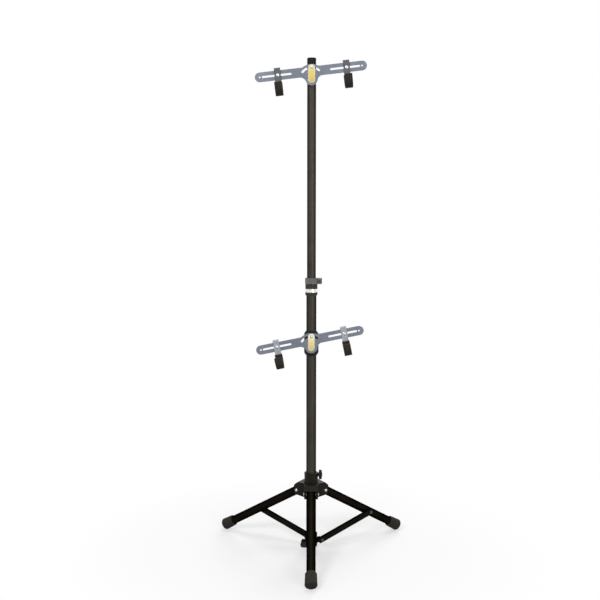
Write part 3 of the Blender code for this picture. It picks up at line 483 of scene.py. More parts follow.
def sticker_finish(name, low, high, pale):
    """Plain vinyl that fades from its lower end to a paler top, with rubbed patches."""
    vinyl = Surface(name, Coat_Weight=0.4, Coat_Roughness=0.18)
    patches = vinyl.noise(70, 4)
    rubbed = vinyl.noise(500, 7, stretch=(1, 1, 0.4), roughness=0.7)
    height = vinyl.math("ADD", vinyl.height(), vinyl.math("MULTIPLY", patches, 0.008))
    rise = vinyl.spread(height, 0.0, 1.0, -0.010, 0.055)
    color = vinyl.worn(vinyl.colors(rise, (0.0, low), (0.55, high), (1.0, pale)), rubbed, pale,
                       0.5, 0.6, 0.76)
    return vinyl.finish(color, vinyl.spread(patches, 0.28, 0.42), (vinyl.noise(800, 3), 0.00005, 0.3))


def build_looks():
    """Every finish on the stand, each in a darker and a lighter shade."""
    tubes = {"Metallic": 1.0, "Specular_IOR_Level": 0.0, "Specular_Tint": (0, 0, 0, 1)}
    plates = {"roughness": 0.36, "flakes": 0.5, "Metallic": 0.25, "Specular_IOR_Level": 0.4}
    return SimpleNamespace(
        # The mast's coat is a paler, warmer copy of the legs' black coat: painted sheen for the lamp
        # reflected along the upright tubes.
        mast=powder_coat("satin_black_coat_painted_sheen", (0.0346, 0.0317, 0.0266), (0.0499, 0.0458, 0.0387), 0.5,
                         **tubes),
        leg=powder_coat("black_powder_coat", (0.0065, 0.0054, 0.0039), (0.0109, 0.0092, 0.0068), 0.42,
                        **tubes),
        nylon=moulded("black_nylon", (0.0085, 0.0068, 0.0046), (0.0140, 0.0114, 0.0080)),
        lever=moulded("dark_grey_nylon", (0.118, 0.115, 0.113), (0.158, 0.154, 0.151), 0.38),
        band=moulded("grey_nylon", (0.1692, 0.1664, 0.1579), (0.2181, 0.2134, 0.2021), 0.4),
        collar=moulded("charcoal_nylon", (0.033, 0.032, 0.027), (0.052, 0.050, 0.043), 0.42),
        rubber=rubber_finish("black_rubber", (0.0210, 0.0180, 0.0152), (0.0365, 0.0315, 0.0268)),
        bar=powder_coat("blue_grey_coat", (0.1344, 0.1528, 0.1872), (0.1736, 0.1952, 0.2368), **plates),
        # The upper and lower hooks share one real grey coat: the darker upper copy is painted shade, and the
        # paler lower copy is painted light.
        hooks={"upper": powder_coat("hook_coat_painted_shade", (0.0671, 0.0740, 0.0817), (0.0946, 0.1023, 0.1118),
                                    **plates),
               "lower": powder_coat("hook_coat_painted_light", (0.2679, 0.2914, 0.3177), (0.3403, 0.3666, 0.3967),
                                    **plates)},
        strap=bare_metal("brushed_strap_steel", (0.5148, 0.4914, 0.4290), (0.6396, 0.6162, 0.5460), 0.34,
                         (1, 1, 0.05)),
        ring=bare_metal("polished_ring", (0.66, 0.64, 0.61), (0.82, 0.80, 0.77), 0.2, (1, 1, 30), 400),
        bolt=bare_metal("zinc_plate", (0.3600, 0.3672, 0.3744), (0.5040, 0.5040, 0.4968), 0.3),
        pin=bare_metal("black_oxide_steel", (0.03, 0.03, 0.03), (0.07, 0.07, 0.068), 0.4, metallic=0.8),
        stickers={"upper": sticker_finish("yellow_vinyl", (0.60, 0.46, 0.11), (0.74, 0.58, 0.15),
                                          (0.74, 0.64, 0.32)),
                  "lower": sticker_finish("faded_yellow_vinyl", (0.56, 0.48, 0.22), (0.80, 0.69, 0.28),
                                          (0.90, 0.86, 0.72))})


# Shapes

def to_mesh(bm):
    bmesh.ops.recalc_face_normals(bm, faces=bm.faces)
    mesh = bpy.data.meshes.new("shape")
    bm.to_mesh(mesh)
    bm.free()
    return mesh


def arc(center, radius, start, end, steps=ARC_STEPS):
    """Points on an arc, with angles in degrees from the first axis."""
    points = []
    for index in range(steps + 1):
        angle = math.radians(start + (end - start) * index / steps)
        points.append((center[0] + radius * math.cos(angle), center[1] + radius * math.sin(angle)))
    return points


def turned(profile, sides=TUBE_SIDES):
    """A closed outline of (radius, height) points, turned about Z."""
    bm = bmesh.new()
    verts = [bm.verts.new((radius, 0.0, height)) for radius, height in profile]
    edges = [bm.edges.new((first, second)) for first, second in zip(verts, verts[1:] + verts[:1])
             if first.co.x > 0 or second.co.x > 0]
    bmesh.ops.spin(bm, geom=verts + edges, cent=(0, 0, 0), axis=(0, 0, 1), dvec=(0, 0, 0),
                   angle=math.tau, steps=sides, use_merge=True, use_duplicate=False)
    bmesh.ops.remove_doubles(bm, verts=bm.verts, dist=MERGE_DISTANCE)
    return to_mesh(bm)


def extruded(outline, start, end, axes):
    """An outline on two axes, extruded along the third one from start to end."""
    first, second = axes
    third = ({0, 1, 2} - set(axes)).pop()
    bm = bmesh.new()
    verts = []
    for point in outline:
        place = [0.0, 0.0, 0.0]
        place[first], place[second], place[third] = point[0], point[1], start
        verts.append(bm.verts.new(place))
    face = bm.faces.new(verts)
    side = bmesh.ops.extrude_face_region(bm, geom=[face])["geom"]
    travel = Vector((0, 0, 0))
    travel[third] = end - start
    bmesh.ops.translate(bm, verts=[item for item in side if isinstance(item, bmesh.types.BMVert)],
                        vec=travel)
    return to_mesh(bm)


def plate(outline, back, front):
    """A flat plate whose (x, z) outline faces the front; depths are measured forward."""
    return extruded(outline, -back, -front, (0, 2))


def box(low, high):
    outline = [(low[0], low[1]), (high[0], low[1]), (high[0], high[1]), (low[0], high[1])]
    return extruded(outline, low[2], high[2], (0, 1))


def pipe(inner, outer, start, end, sides=TUBE_SIDES):
    return turned([(inner, start), (outer, start), (outer, end), (inner, end)], sides)


def tube(radius, bottom, top):
    return pipe(radius - TUBE_WALL, radius, bottom, top)


def rod(radius, start, end, sides=BOLT_SIDES, axis="Z"):
    """A round bar along one axis through the origin."""
    return turn_to(pipe(0, radius, start, end, sides), axis)


def drill(radius, start, end, axis="Y"):
    """A round bar that cuts a hole with clearance for a bolt of the given radius."""
    return rod(radius + HOLE_CLEARANCE, start, end, axis=axis)


def bore(radius, low, high):
    """A round bar along Z that cuts a wide bore, past both ends."""
    return rod(radius, low - CUT_OVERRUN, high + CUT_OVERRUN, TUBE_SIDES)


def shifted(profile, radius, height):
    """A profile of small steps, laid out from a radius and a height."""
    return [(radius + out, height + up) for out, up in profile]


def turn_to(mesh, axis):
    """Turn a mesh made along Z so that it lies along X or Y."""
    turns = {"X": Matrix.Rotation(math.radians(90), 4, "Y"), "Y": Matrix.Rotation(math.radians(-90), 4, "X")}
    if axis in turns:
        mesh.transform(turns[axis])
    return mesh


def fastener(profile):
    """A bolt or a pin along Y, turned from its profile."""
    return turn_to(turned(profile, BOLT_SIDES), "Y")


def moved(mesh, offset=(0, 0, 0), azimuth=0.0):
    """A copy, turned about Z and then moved."""
    copy = mesh.copy()
    copy.transform(Matrix.Translation(offset) @ Matrix.Rotation(math.radians(azimuth), 4, "Z"))
    return copy


def linked(name, data):
    """A new object in the scene."""
    item = bpy.data.objects.new(name, data)
    bpy.context.scene.collection.objects.link(item)
    return item


def applied(target, *tools):
    """The mesh of an object with its modifiers applied; the object and its tools are removed."""
    graph = bpy.context.evaluated_depsgraph_get()
    result = bpy.data.meshes.new_from_object(target.evaluated_get(graph))
    for item in (*tools, target):
        bpy.data.objects.remove(item, do_unlink=True)
    return result


def combine(mesh, others, operation):
    """Join other closed meshes to this one, or cut them from it."""
    target = linked("target", mesh)
    tools = [linked("tool", other) for other in others]
    for tool in tools:
        step = target.modifiers.new("Boolean", "BOOLEAN")
        step.operation = operation
        step.solver = "EXACT"
        step.object = tool
    return applied(target, *tools)


def join(mesh, *others):
    return combine(mesh, others, "UNION")


def cut(mesh, *others):
    return combine(mesh, others, "DIFFERENCE")


def stadium(start, end, width, height=0.0):
    """A slot outline with round ends, from one end centre to the other."""
    half = width / 2
    return arc((end, height), half, -90, 90) + arc((start, height), half, 90, 270)


def settle(location=(0, 0, 0), rotation=(0, 0, 0), parent=None):
    """A place in the world, or in its parent's frame; rotation in degrees."""
    turn = Euler([math.radians(angle) for angle in rotation]).to_matrix().to_4x4()
    place = Matrix.Translation(location) @ turn
    return parent @ place if parent else place


def around(azimuth, reach, side, height):
    """A point beside a leg's or a strut's vertical plane, which stands at an azimuth in degrees."""
    return Matrix.Rotation(math.radians(azimuth), 4, "Z") @ Vector((reach, side, height))


def soften(piece, edge, limit):
    """Round the edges of an object that turn by more than `limit` degrees."""
    bevel = piece.modifiers.new("Rounded edges", "BEVEL")
    bevel.width = edge
    bevel.segments = EDGE_STEPS
    bevel.limit_method = "ANGLE"
    bevel.angle_limit = math.radians(limit)
    bevel.miter_outer = "MITER_ARC"


def rounded(mesh, edge=JOINED_EDGE, limit=EDGE_ANGLE):
    """A mesh with its edges rounded, to be joined with others; the piece then takes edge=0."""
    holder = linked("holder", mesh)
    soften(holder, edge, limit)
    return applied(holder)


def shaped(name, mesh, material, place, edge):
    """A smooth-shaded object: its sharp edges are rounded by `edge`, or stay creases where that is 0."""
    mesh = mesh.copy()
    mesh.name = name
    mesh.materials.clear()
    mesh.materials.append(material)
    mesh.shade_smooth()
    if not edge:
        mesh.set_sharp_from_angle(angle=math.radians(CREASE_ANGLE))
    piece = linked(name, mesh)
    piece.matrix_world = place
    bpy.context.view_layer.update()
    if edge:
        soften(piece, edge, EDGE_ANGLE)
    even = piece.modifiers.new("Even shading", "WEIGHTED_NORMAL")
    even.keep_sharp = True
    return piece


def add(node, mesh, material, parent=None, location=(0, 0, 0), rotation=(0, 0, 0), edge=PIECE_EDGE):
    """A finished piece that stands for the CAD node of the same name."""
    piece = shaped(node + "_finished", mesh, material, settle(location, rotation, parent), edge)
    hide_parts(node)
    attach(piece, frame["nodes"][node]["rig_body"])


def trim(name, node, mesh, material, place, edge=0):
    """A small extra piece that moves with a CAD node."""
    piece = shaped(name, mesh, material, place, edge)
    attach(piece, frame["nodes"][node]["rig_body"])


def knob(seat):
    """A lobed screw knob along +X: seated at `seat`, its screw reaching back to the mast."""
    outline = []
    steps = KNOB_LOBES * KNOB_LOBE_STEPS
    for index in range(steps):
        angle = math.tau * index / steps
        radius = KNOB_RADIUS - KNOB_GROOVE * (0.5 - 0.5 * math.cos(angle * KNOB_LOBES))
        outline.append((radius * math.cos(angle), radius * math.sin(angle)))
    face = seat + KNOB_THICKNESS
    screw = rod(KNOB_SCREW_RADIUS, LOWER_TUBE_RADIUS + 2 * TOUCH_GAP, seat + KNOB_THICKNESS / 2, axis="X")
    cap = turn_to(turned(shifted(KNOB_CAP, 0, face)), "X")
    return join(extruded(outline, seat, face, (1, 2)), screw, cap)


def knob_seat(sleeve_radius):
    return sleeve_radius + KNOB_BOSS_REACH + TOUCH_GAP


def knob_boss(sleeve_radius):
    return rod(KNOB_BOSS_RADIUS, LOWER_TUBE_RADIUS / 2, sleeve_radius + KNOB_BOSS_REACH, TUBE_SIDES, "X")


def knob_hole(sleeve_radius):
    return drill(KNOB_SCREW_RADIUS, 0, sleeve_radius + 2 * KNOB_BOSS_REACH, "X")


# Mast

def upper_pivot_lift():
    """Height of the upper bar's tilt pivot above the lower tube's top."""
    return MAST_HEIGHT - UPPER_PIVOT_DROP - LOWER_TUBE_TOP


def cradle_bolt_holes(start, end, height=0.0):
    """What cuts the holes for a cradle's pivot bolt, at the given height, and its lock bolt above."""
    hole = drill(CRADLE_BOLT_RADIUS, start, end)
    return [moved(hole, (0, 0, height + rise)) for rise in (0, LOCK_RADIUS)]


def build_mast(looks):
    """The fixed lower tube with its foot, and the sliding upper tube with its cap."""
    spigot = LOWER_TUBE_RADIUS - TUBE_WALL - HOLE_CLEARANCE
    plug = turned([(0, 0), (LOWER_TUBE_RADIUS, 0), (LOWER_TUBE_RADIUS, BASE_FLANGE_HEIGHT),
                   (spigot, BASE_FLANGE_HEIGHT), (spigot, BASE_FLANGE_HEIGHT + BASE_SPIGOT),
                   (0, BASE_FLANGE_HEIGHT + BASE_SPIGOT)])
    add("mast_base_plug", plug, looks.nylon)
    lower = tube(LOWER_TUBE_RADIUS, BASE_FLANGE_HEIGHT + TOUCH_GAP, LOWER_TUBE_TOP)
    add("lower_mast_tube", lower, looks.mast)

    sliding = settle((0, 0, LOWER_TUBE_TOP))
    tube_top = MAST_HEIGHT - TOP_CAP_HEIGHT - LOWER_TUBE_TOP
    across = UPPER_TUBE_RADIUS + CUT_OVERRUN
    upper = cut(tube(UPPER_TUBE_RADIUS, tube_top - UPPER_TUBE_LENGTH, tube_top),
                *cradle_bolt_holes(-across, across, upper_pivot_lift()))
    add("upper_mast_tube", upper, looks.mast, sliding)
    rim = UPPER_TUBE_RADIUS + TOP_CAP_RIM
    inside = UPPER_TUBE_RADIUS - TUBE_WALL - HOLE_CLEARANCE
    seat = tube_top + TOUCH_GAP
    crown = tube_top + TOP_CAP_HEIGHT
    corner = arc((rim - TOP_CAP_CHAMFER, crown - TOP_CAP_CHAMFER), TOP_CAP_CHAMFER, 0, 90, CORNER_STEPS)
    dish = rim - TOP_CAP_DISH_RIM
    floor = crown - TOP_CAP_DISH_DEPTH
    cap = turned([(0, seat - TOP_CAP_SPIGOT), (inside, seat - TOP_CAP_SPIGOT), (inside, seat)]
                 + shifted(TOP_CAP_GROOVE, rim, seat) + corner
                 + [(dish, crown), (dish - TOP_CAP_DISH_SLOPE, floor), (0, floor)])
    add("top_cap", cap, looks.nylon, sliding)
    return sliding


def build_telescoping_collar(looks):
    """The sleeve that joins the two tubes, with its clamp band, bolt and cam lever."""
    top = LOWER_TUBE_TOP
    neck = UPPER_BORE + COLLAR_NECK_WALL
    ring_seat = COLLAR_BODY_RADIUS - RING_THICKNESS - TOUCH_GAP
    body = turned([(LOWER_BORE, -COLLAR_SKIRT), (LOWER_BORE + COLLAR_LIP, -COLLAR_SKIRT),
                   (COLLAR_FLANGE_RADIUS, -COLLAR_SKIRT + COLLAR_LIP_HEIGHT),
                   (COLLAR_FLANGE_RADIUS, COLLAR_FLANGE_TOP), (ring_seat, COLLAR_FLANGE_TOP),
                   (ring_seat, COLLAR_BODY_BOTTOM), (COLLAR_BODY_RADIUS, COLLAR_BODY_BOTTOM),
                   (COLLAR_BODY_RADIUS, COLLAR_BODY_TOP),
                   (neck, COLLAR_BODY_TOP), (neck, COLLAR_NECK_TOP), (UPPER_BORE, COLLAR_NECK_TOP),
                   (UPPER_BORE, TOUCH_GAP), (LOWER_BORE, TOUCH_GAP)])
    add("telescoping_collar", body, looks.collar, location=(0, 0, top))
    ring = pipe(ring_seat + TOUCH_GAP, COLLAR_BODY_RADIUS, COLLAR_FLANGE_TOP + TOUCH_GAP,
                COLLAR_BODY_BOTTOM - TOUCH_GAP)
    add("collar_ring", ring, looks.ring, location=(0, 0, top))

    inner = neck + TOUCH_GAP
    outer = inner + BAND_THICKNESS
    low = COLLAR_BODY_TOP + TOUCH_GAP
    high = low + BAND_HEIGHT
    ear = EAR_THICKNESS + EAR_SLIT / 2
    grooves = []
    for share in BAND_GROOVE_SHARES:
        grooves += shifted(BAND_GROOVE, outer, low + share * BAND_HEIGHT)
    hoop = turned([(0, low), (outer, low)] + grooves + [(outer, high), (0, high)])
    band = join(rounded(hoop, BAND_EDGE, BAND_EDGE_ANGLE),
                rounded(box((inner, -ear, low), (EAR_REACH, ear, high)), EAR_EDGE))
    middle = (low + high) / 2
    across = ear + CUT_OVERRUN
    slit = box((inner - CUT_OVERRUN, -EAR_SLIT / 2, low - CUT_OVERRUN),
               (EAR_REACH + CUT_OVERRUN, EAR_SLIT / 2, high + CUT_OVERRUN))
    hole = moved(drill(CLAMP_BOLT_RADIUS, -across, across), (CLAMP_BOLT_X, 0, middle))
    add("clamp_band", cut(band, bore(inner, low, high), slit, hole), looks.band, location=(0, 0, top), edge=0)
    build_quick_release(top + middle, ear, looks)


def build_quick_release(height, ear, looks):
    """A barrel bolt through the band's ears and a cam lever that swings about the barrel."""
    pivot = (CLAMP_BOLT_X, -ear - TOUCH_GAP - CAM_RADIUS, height)
    reach = -pivot[1] + ear + TOUCH_GAP
    head = rod(CLAMP_HEAD_RADIUS, reach, reach + CLAMP_HEAD, HEXAGON_SIDES, "Y")
    shank = rod(CLAMP_BOLT_RADIUS, 0, reach + CLAMP_HEAD / 2, axis="Y")
    barrel = rod(CLAMP_BOLT_RADIUS, -CLAMP_BARREL_LENGTH / 2, CLAMP_BARREL_LENGTH / 2)
    add("clamp_bolt", join(barrel, shank, head), looks.pin, location=pivot)

    half = LEVER_HEIGHT / 2
    inner = LEVER_ARM_RADIUS
    outer = inner + LEVER_ARM_THICKNESS
    outline = (arc((0, 0), inner, LEVER_ARM_START, LEVER_ARM_END, 2 * ARC_STEPS)
               + arc((0, 0), outer, LEVER_ARM_END, LEVER_ARM_START, 2 * ARC_STEPS))
    arm = moved(extruded(outline, -half, half, (0, 1)), (-pivot[0], -pivot[1], 0))
    slot = CLAMP_BOLT_RADIUS + HOLE_CLEARANCE
    room = 2 * CAM_RADIUS
    lever = cut(join(rod(CAM_RADIUS, -half, half, TUBE_SIDES), arm),
                rod(slot, -LEVER_HEIGHT, LEVER_HEIGHT),
                box((-slot, -room, -slot), (room, room, slot)))
    add("quick_release_lever", lever, looks.lever, location=pivot, edge=LEVER_EDGE)


# Tripod

def foot_lift():
    """Height of the foot's tip centre above the floor, so that the foot's rim rests on it."""
    slope = math.radians(LEG_ANGLE)
    rim = FOOT_TIP_RADIUS - FOOT_ROUNDING
    return rim * math.cos(slope) + FOOT_ROUNDING - FOOT_ROUNDING * math.sin(slope)


def leg_length():
    """From the hinge pin to the tip of the foot, along the leg."""
    return (HINGE_HEIGHT - foot_lift()) / math.sin(math.radians(LEG_ANGLE))


def clevis_outline():
    """Side view of a hub clevis, measured from the hinge pin."""
    root = CHEEK_ROOT - HINGE_REACH
    return ([(root, CHEEK_BOTTOM), (CHEEK_CHIN_REACH, CHEEK_CHIN_HEIGHT)]
            + arc((0, 0), CHEEK_NOSE, -CHEEK_NOSE_ANGLE, CHEEK_NOSE_ANGLE)
            + [(ROOF_LIP_REACH, ROOF_LIP_HEIGHT), (ROOF_EDGE_REACH, ROOF_EDGE_HEIGHT),
               (CHEEK_SHOULDER, CHEEK_TOP), (root, CHEEK_TOP)])


def swing_outline():
    """Side view of the space between the cheeks, where the leg's end swings under the roof."""
    root = CHEEK_ROOT - HINGE_REACH
    swing = math.hypot(LEG_STUB, LEG_TUBE_RADIUS) + SIDE_PLAY
    underside = arc((0, 0), swing, ROOF_ARC_START_ANGLE, ROOF_ARC_END_ANGLE)
    lip = Vector((ROOF_LIP_REACH, ROOF_LIP_HEIGHT))
    beyond = lip + ROOF_LIP_OVERRUN * (lip - Vector(underside[0]))
    deep = CHEEK_BOTTOM - CUT_OVERRUN
    return (underside + [(root, underside[-1][1]), (root, deep), (beyond.x + CUT_OVERRUN, deep),
                         (beyond.x + CUT_OVERRUN, beyond.y), tuple(beyond)])


def build_hub(looks):
    """The sliding hub: a sleeve with two cheeks and a roof for each leg, and a screw knob."""
    slide = settle((0, 0, HINGE_HEIGHT - HUB_BELOW_HINGE))
    height = HUB_BELOW_HINGE + HUB_ABOVE_HINGE
    inside = LEG_TUBE_RADIUS + SIDE_PLAY
    outside = inside + CHEEK_THICKNESS
    across = outside + CUT_OVERRUN
    clevis = rounded(cut(extruded(clevis_outline(), -outside, outside, (0, 2)),
                         extruded(swing_outline(), -inside, inside, (0, 2)),
                         drill(HINGE_BOLT_RADIUS, -across, across)))
    clevis = moved(clevis, (HINGE_REACH, 0, HUB_BELOW_HINGE))
    sleeve = turned([(0, 0), (HUB_RADIUS, 0)] + shifted(HUB_RIM_PROFILE, HUB_RADIUS + HUB_RIM, height)
                    + [(0, height)])
    knob_lift = (0, 0, HUB_BELOW_HINGE + HUB_KNOB_ABOVE_HINGE)
    body = join(rounded(sleeve), rounded(moved(knob_boss(HUB_RADIUS), knob_lift)),
                *[moved(clevis, azimuth=azimuth) for azimuth in LEG_AZIMUTHS.values()])
    body = cut(body, bore(LOWER_BORE, 0, height), moved(knob_hole(HUB_RADIUS), knob_lift))
    add("tripod_hub", body, looks.nylon, slide, edge=0)
    add("hub_knob", knob(knob_seat(HUB_RADIUS)), looks.nylon, slide, knob_lift)

    face = outside + TOUCH_GAP
    near = (dome(HINGE_BOLT_HEAD_RADIUS, -face, HINGE_BOLT_HEAD)
            + [(HINGE_BOLT_HEAD_RADIUS, -face), (HINGE_BOLT_RADIUS, -face)])
    bolt = fastener(near + [(radius, -depth) for radius, depth in reversed(near)])
    for side, azimuth in LEG_AZIMUTHS.items():
        spot = around(azimuth, HINGE_REACH, 0, HUB_BELOW_HINGE)
        add(f"{side}_leg_hinge_bolt", bolt, looks.bolt, slide, spot, (0, 0, azimuth))
    return slide


def foot_mesh(length):
    """A rubber foot along +X: ribs around its mouth, and rings in its sole at `length`."""
    inner = LEG_TUBE_RADIUS + TOUCH_GAP
    start = length - FOOT_LENGTH
    lip = (inner + FOOT_TOP_RADIUS) / 2
    corner = arc((FOOT_TIP_RADIUS - FOOT_ROUNDING, length - FOOT_ROUNDING), FOOT_ROUNDING, 0, 90,
                 CORNER_STEPS)
    ribs = []
    for step in range(FOOT_RIBS):
        spot = start + FOOT_LIP + FOOT_RIB_START + step * FOOT_RIB_PITCH
        slope = (FOOT_TOP_RADIUS - FOOT_TIP_RADIUS) * (spot - start) / FOOT_LENGTH
        ribs += shifted(FOOT_RIB, FOOT_TOP_RADIUS - slope, spot)
    sole = []
    for ring in SOLE_RINGS:
        sole += shifted(SOLE_GROOVE, ring, length)
    return turn_to(turned([(inner, start), (lip - FOOT_MOUTH_WIDTH, start), (lip, start + FOOT_MOUTH_RISE),
                           (FOOT_TOP_RADIUS, start + FOOT_LIP)] + ribs + corner + sole
                          + [(0, length), (0, length - FOOT_SOLE), (inner, length - FOOT_SOLE)]), "X")


def build_legs(slide, looks):
    """Three tube legs with rubber feet, each turning on its hinge bolt."""
    length = leg_length()
    across = LEG_TUBE_RADIUS + CUT_OVERRUN
    leg = cut(turn_to(tube(LEG_TUBE_RADIUS, -LEG_STUB, length - FOOT_SOLE - TOUCH_GAP), "X"),
              drill(HINGE_BOLT_RADIUS, -across, across))
    foot = foot_mesh(length)
    for side, azimuth in LEG_AZIMUTHS.items():
        hinge = settle(around(azimuth, HINGE_REACH, 0, HUB_BELOW_HINGE), (0, LEG_ANGLE, azimuth), slide)
        add(f"{side}_leg", leg, looks.leg, hinge)
        add(f"{side}_foot", foot, looks.rubber, hinge)


def strut_offset():
    """Sideways distance from the leg's middle plane to the strut's middle."""
    return LEG_TUBE_RADIUS + TOUCH_GAP + STRUT_HALF_WIDTH


def strut_run():
    """Reach and rise from the strut's lower pivot to its pivot beside the leg."""
    slope = math.radians(LEG_ANGLE)
    reach = HINGE_REACH + LEG_PIVOT_DISTANCE * math.cos(slope) - STRUT_PIVOT_REACH
    rise = HINGE_HEIGHT - LEG_PIVOT_DISTANCE * math.sin(slope) - STRUT_PIVOT_HEIGHT
    return reach, rise


def build_lower_collar(looks):
    """The fixed collar at the mast's foot: one lug and one pin for each strut."""
    outer = LOWER_BORE + LOWER_COLLAR_WALL
    face = strut_offset() - STRUT_HALF_WIDTH - TOUCH_GAP
    under = math.radians(LUG_UNDERSIDE_ANGLE)
    corner = (STRUT_PIVOT_REACH + LUG_END_RADIUS * math.sin(under),
              STRUT_PIVOT_HEIGHT - LUG_END_RADIUS * math.cos(under))
    foot = corner[1] - (corner[0] - LUG_END_RADIUS) * math.tan(under)
    outline = (arc((STRUT_PIVOT_REACH, STRUT_PIVOT_HEIGHT), LUG_END_RADIUS,
                   LUG_UNDERSIDE_ANGLE - 90, 90)
               + [(LUG_END_RADIUS, STRUT_PIVOT_HEIGHT + LUG_END_RADIUS), (LUG_END_RADIUS, foot)])
    lug = extruded(outline, -face, -face + LUG_THICKNESS, (0, 2))
    hole = moved(drill(PIN_RADIUS, -face - CUT_OVERRUN, 0), (STRUT_PIVOT_REACH, 0, STRUT_PIVOT_HEIGHT))
    turns = LEG_AZIMUTHS.values()
    body = join(rounded(rod(outer, LOWER_COLLAR_BOTTOM, LOWER_COLLAR_TOP, TUBE_SIDES)),
                *[moved(rounded(lug), azimuth=azimuth) for azimuth in turns])
    body = cut(body, bore(LOWER_BORE, LOWER_COLLAR_BOTTOM, LOWER_COLLAR_TOP),
               *[moved(hole, azimuth=azimuth) for azimuth in turns])
    add("lower_collar", body, looks.leg, edge=0)

    outside = strut_offset() + STRUT_HALF_WIDTH + TOUCH_GAP
    inside = face - LUG_THICKNESS - TOUCH_GAP
    pin = headed_pin(-outside, -inside, PIN_INNER_HEAD_RADIUS, PIN_HEAD)
    for side, azimuth in LEG_AZIMUTHS.items():
        spot = around(azimuth, STRUT_PIVOT_REACH, 0, STRUT_PIVOT_HEIGHT)
        add(f"{side}_strut_pin", pin, looks.pin, None, spot, (0, 0, azimuth))


def headed_pin(outside, inside, end_radius, end_length):
    """A pin along Y with a head before `outside`, and an end of its own size after `inside`."""
    end = inside + end_length
    return fastener(dome(PIN_HEAD_RADIUS, outside, PIN_HEAD)
                    + [(PIN_HEAD_RADIUS, outside), (PIN_RADIUS, outside), (PIN_RADIUS, inside),
                       (end_radius, inside), (end_radius, end), (0, end)])


def square_outline(half):
    """A square section with cut corners."""
    flat = half - STRUT_CORNER
    return [(flat, -half), (half, -flat), (half, flat), (flat, half),
            (-flat, half), (-half, flat), (-half, -flat), (-flat, -half)]


def build_struts(looks):
    """Three square tube struts from the lower collar to the legs, each beside its leg."""
    reach, rise = strut_run()
    length = math.hypot(reach, rise)
    elevation = math.degrees(math.atan2(rise, reach))
    inner = STRUT_HALF_WIDTH - STRUT_WALL
    reach_past = STRUT_END - STRUT_WALL
    across = STRUT_HALF_WIDTH + CUT_OVERRUN
    hole = drill(PIN_RADIUS, -across, across)
    strut = cut(extruded(square_outline(STRUT_HALF_WIDTH), -STRUT_END, length + STRUT_END, (1, 2)),
                extruded(square_outline(inner), -reach_past, length + reach_past, (1, 2)),
                hole, moved(hole, (length, 0, 0)))
    outside = STRUT_HALF_WIDTH + TOUCH_GAP
    rivet = headed_pin(-outside, STRUT_HALF_WIDTH - RIVET_INSET, PIN_RADIUS, RIVET_INSET)
    plug_ends = {"lower": (-STRUT_END - STRUT_PLUG_PROUD, -STRUT_END + STRUT_PLUG_DEPTH),
                 "upper": (length + STRUT_END - STRUT_PLUG_DEPTH, length + STRUT_END + STRUT_PLUG_PROUD)}
    for side, azimuth in LEG_AZIMUTHS.items():
        hinge = settle(around(azimuth, STRUT_PIVOT_REACH, -strut_offset(), STRUT_PIVOT_HEIGHT),
                       (0, -elevation, azimuth))
        add(f"{side}_strut", strut, looks.leg, hinge)
        for end, (start, stop) in plug_ends.items():
            plug = extruded(square_outline(inner), start, stop, (1, 2))
            trim(f"{side}_strut_{end}_plug", f"{side}_strut", plug, looks.nylon, hinge, PLUG_EDGE)
        add(f"{side}_strut_rivet", rivet, looks.pin, hinge, (length, 0, 0))


# Cradles

def bar_outline():
    """Front view of a cradle bar, measured from its tilt pivot."""
    half = BAR_WIDTH / 2
    top = BAR_PIVOT_DROP + half
    bottom = BAR_PIVOT_DROP - half
    end = BAR_LENGTH / 2 - half
    dome_fillet_z = top + DOME_FILLET
    dome_reach = DOME_RADIUS + DOME_FILLET
    dome_fillet_x = math.sqrt(dome_reach ** 2 - dome_fillet_z ** 2)
    dome_angle = math.degrees(math.atan2(dome_fillet_z, dome_fillet_x))
    tongue_fillet_z = bottom - TONGUE_FILLET
    tongue_reach = TONGUE_RADIUS + TONGUE_FILLET
    tongue_fillet_x = math.sqrt(tongue_reach ** 2 - tongue_fillet_z ** 2)
    tongue_angle = math.degrees(math.atan2(tongue_fillet_z, tongue_fillet_x))
    right = (arc((0, 0), TONGUE_RADIUS, -90, tongue_angle)
             + arc((tongue_fillet_x, tongue_fillet_z), TONGUE_FILLET, 180 + tongue_angle, 90)[1:]
             + arc((end, BAR_PIVOT_DROP), half, -90, 90)
             + arc((dome_fillet_x, dome_fillet_z), DOME_FILLET, 270, 180 + dome_angle)
             + arc((0, 0), DOME_RADIUS, dome_angle, 90)[1:])
    left = [(-x, z) for x, z in reversed(right[1:-1])]
    return right + left


def lock_slot_outline():
    """The arc slot about the pivot, with round ends."""
    half = SLOT_WIDTH / 2
    low = 90 - LOCK_SLOT_HALF_ANGLE
    high = 90 + LOCK_SLOT_HALF_ANGLE

    def end(angle):
        spot = math.radians(angle)
        return (LOCK_RADIUS * math.cos(spot), LOCK_RADIUS * math.sin(spot))

    return (arc((0, 0), LOCK_RADIUS + half, low, high, 2 * ARC_STEPS)
            + arc(end(high), half, high, high + 180)[1:]
            + arc((0, 0), LOCK_RADIUS - half, high, low, 2 * ARC_STEPS)[1:]
            + arc(end(low), half, low + 180, low + 360)[1:-1])


def bar_mesh():
    """A slotted bar whose back lies in the plane of its pivot's origin."""
    outlines = [stadium(HOOK_SLOT_START, HOOK_SLOT_END, SLOT_WIDTH, BAR_PIVOT_DROP),
                stadium(-HOOK_SLOT_END, -HOOK_SLOT_START, SLOT_WIDTH, BAR_PIVOT_DROP),
                lock_slot_outline()]
    front = BAR_THICKNESS + CUT_OVERRUN
    slots = [plate(outline, -CUT_OVERRUN, front) for outline in outlines]
    for reach in (-END_HOLE_REACH, END_HOLE_REACH):
        slots.append(moved(rod(END_HOLE_RADIUS, -front, CUT_OVERRUN, axis="Y"), (reach, 0, BAR_PIVOT_DROP)))
    slots.append(drill(CRADLE_BOLT_RADIUS, -front, CUT_OVERRUN))
    return cut(plate(bar_outline(), 0, BAR_THICKNESS), *slots)


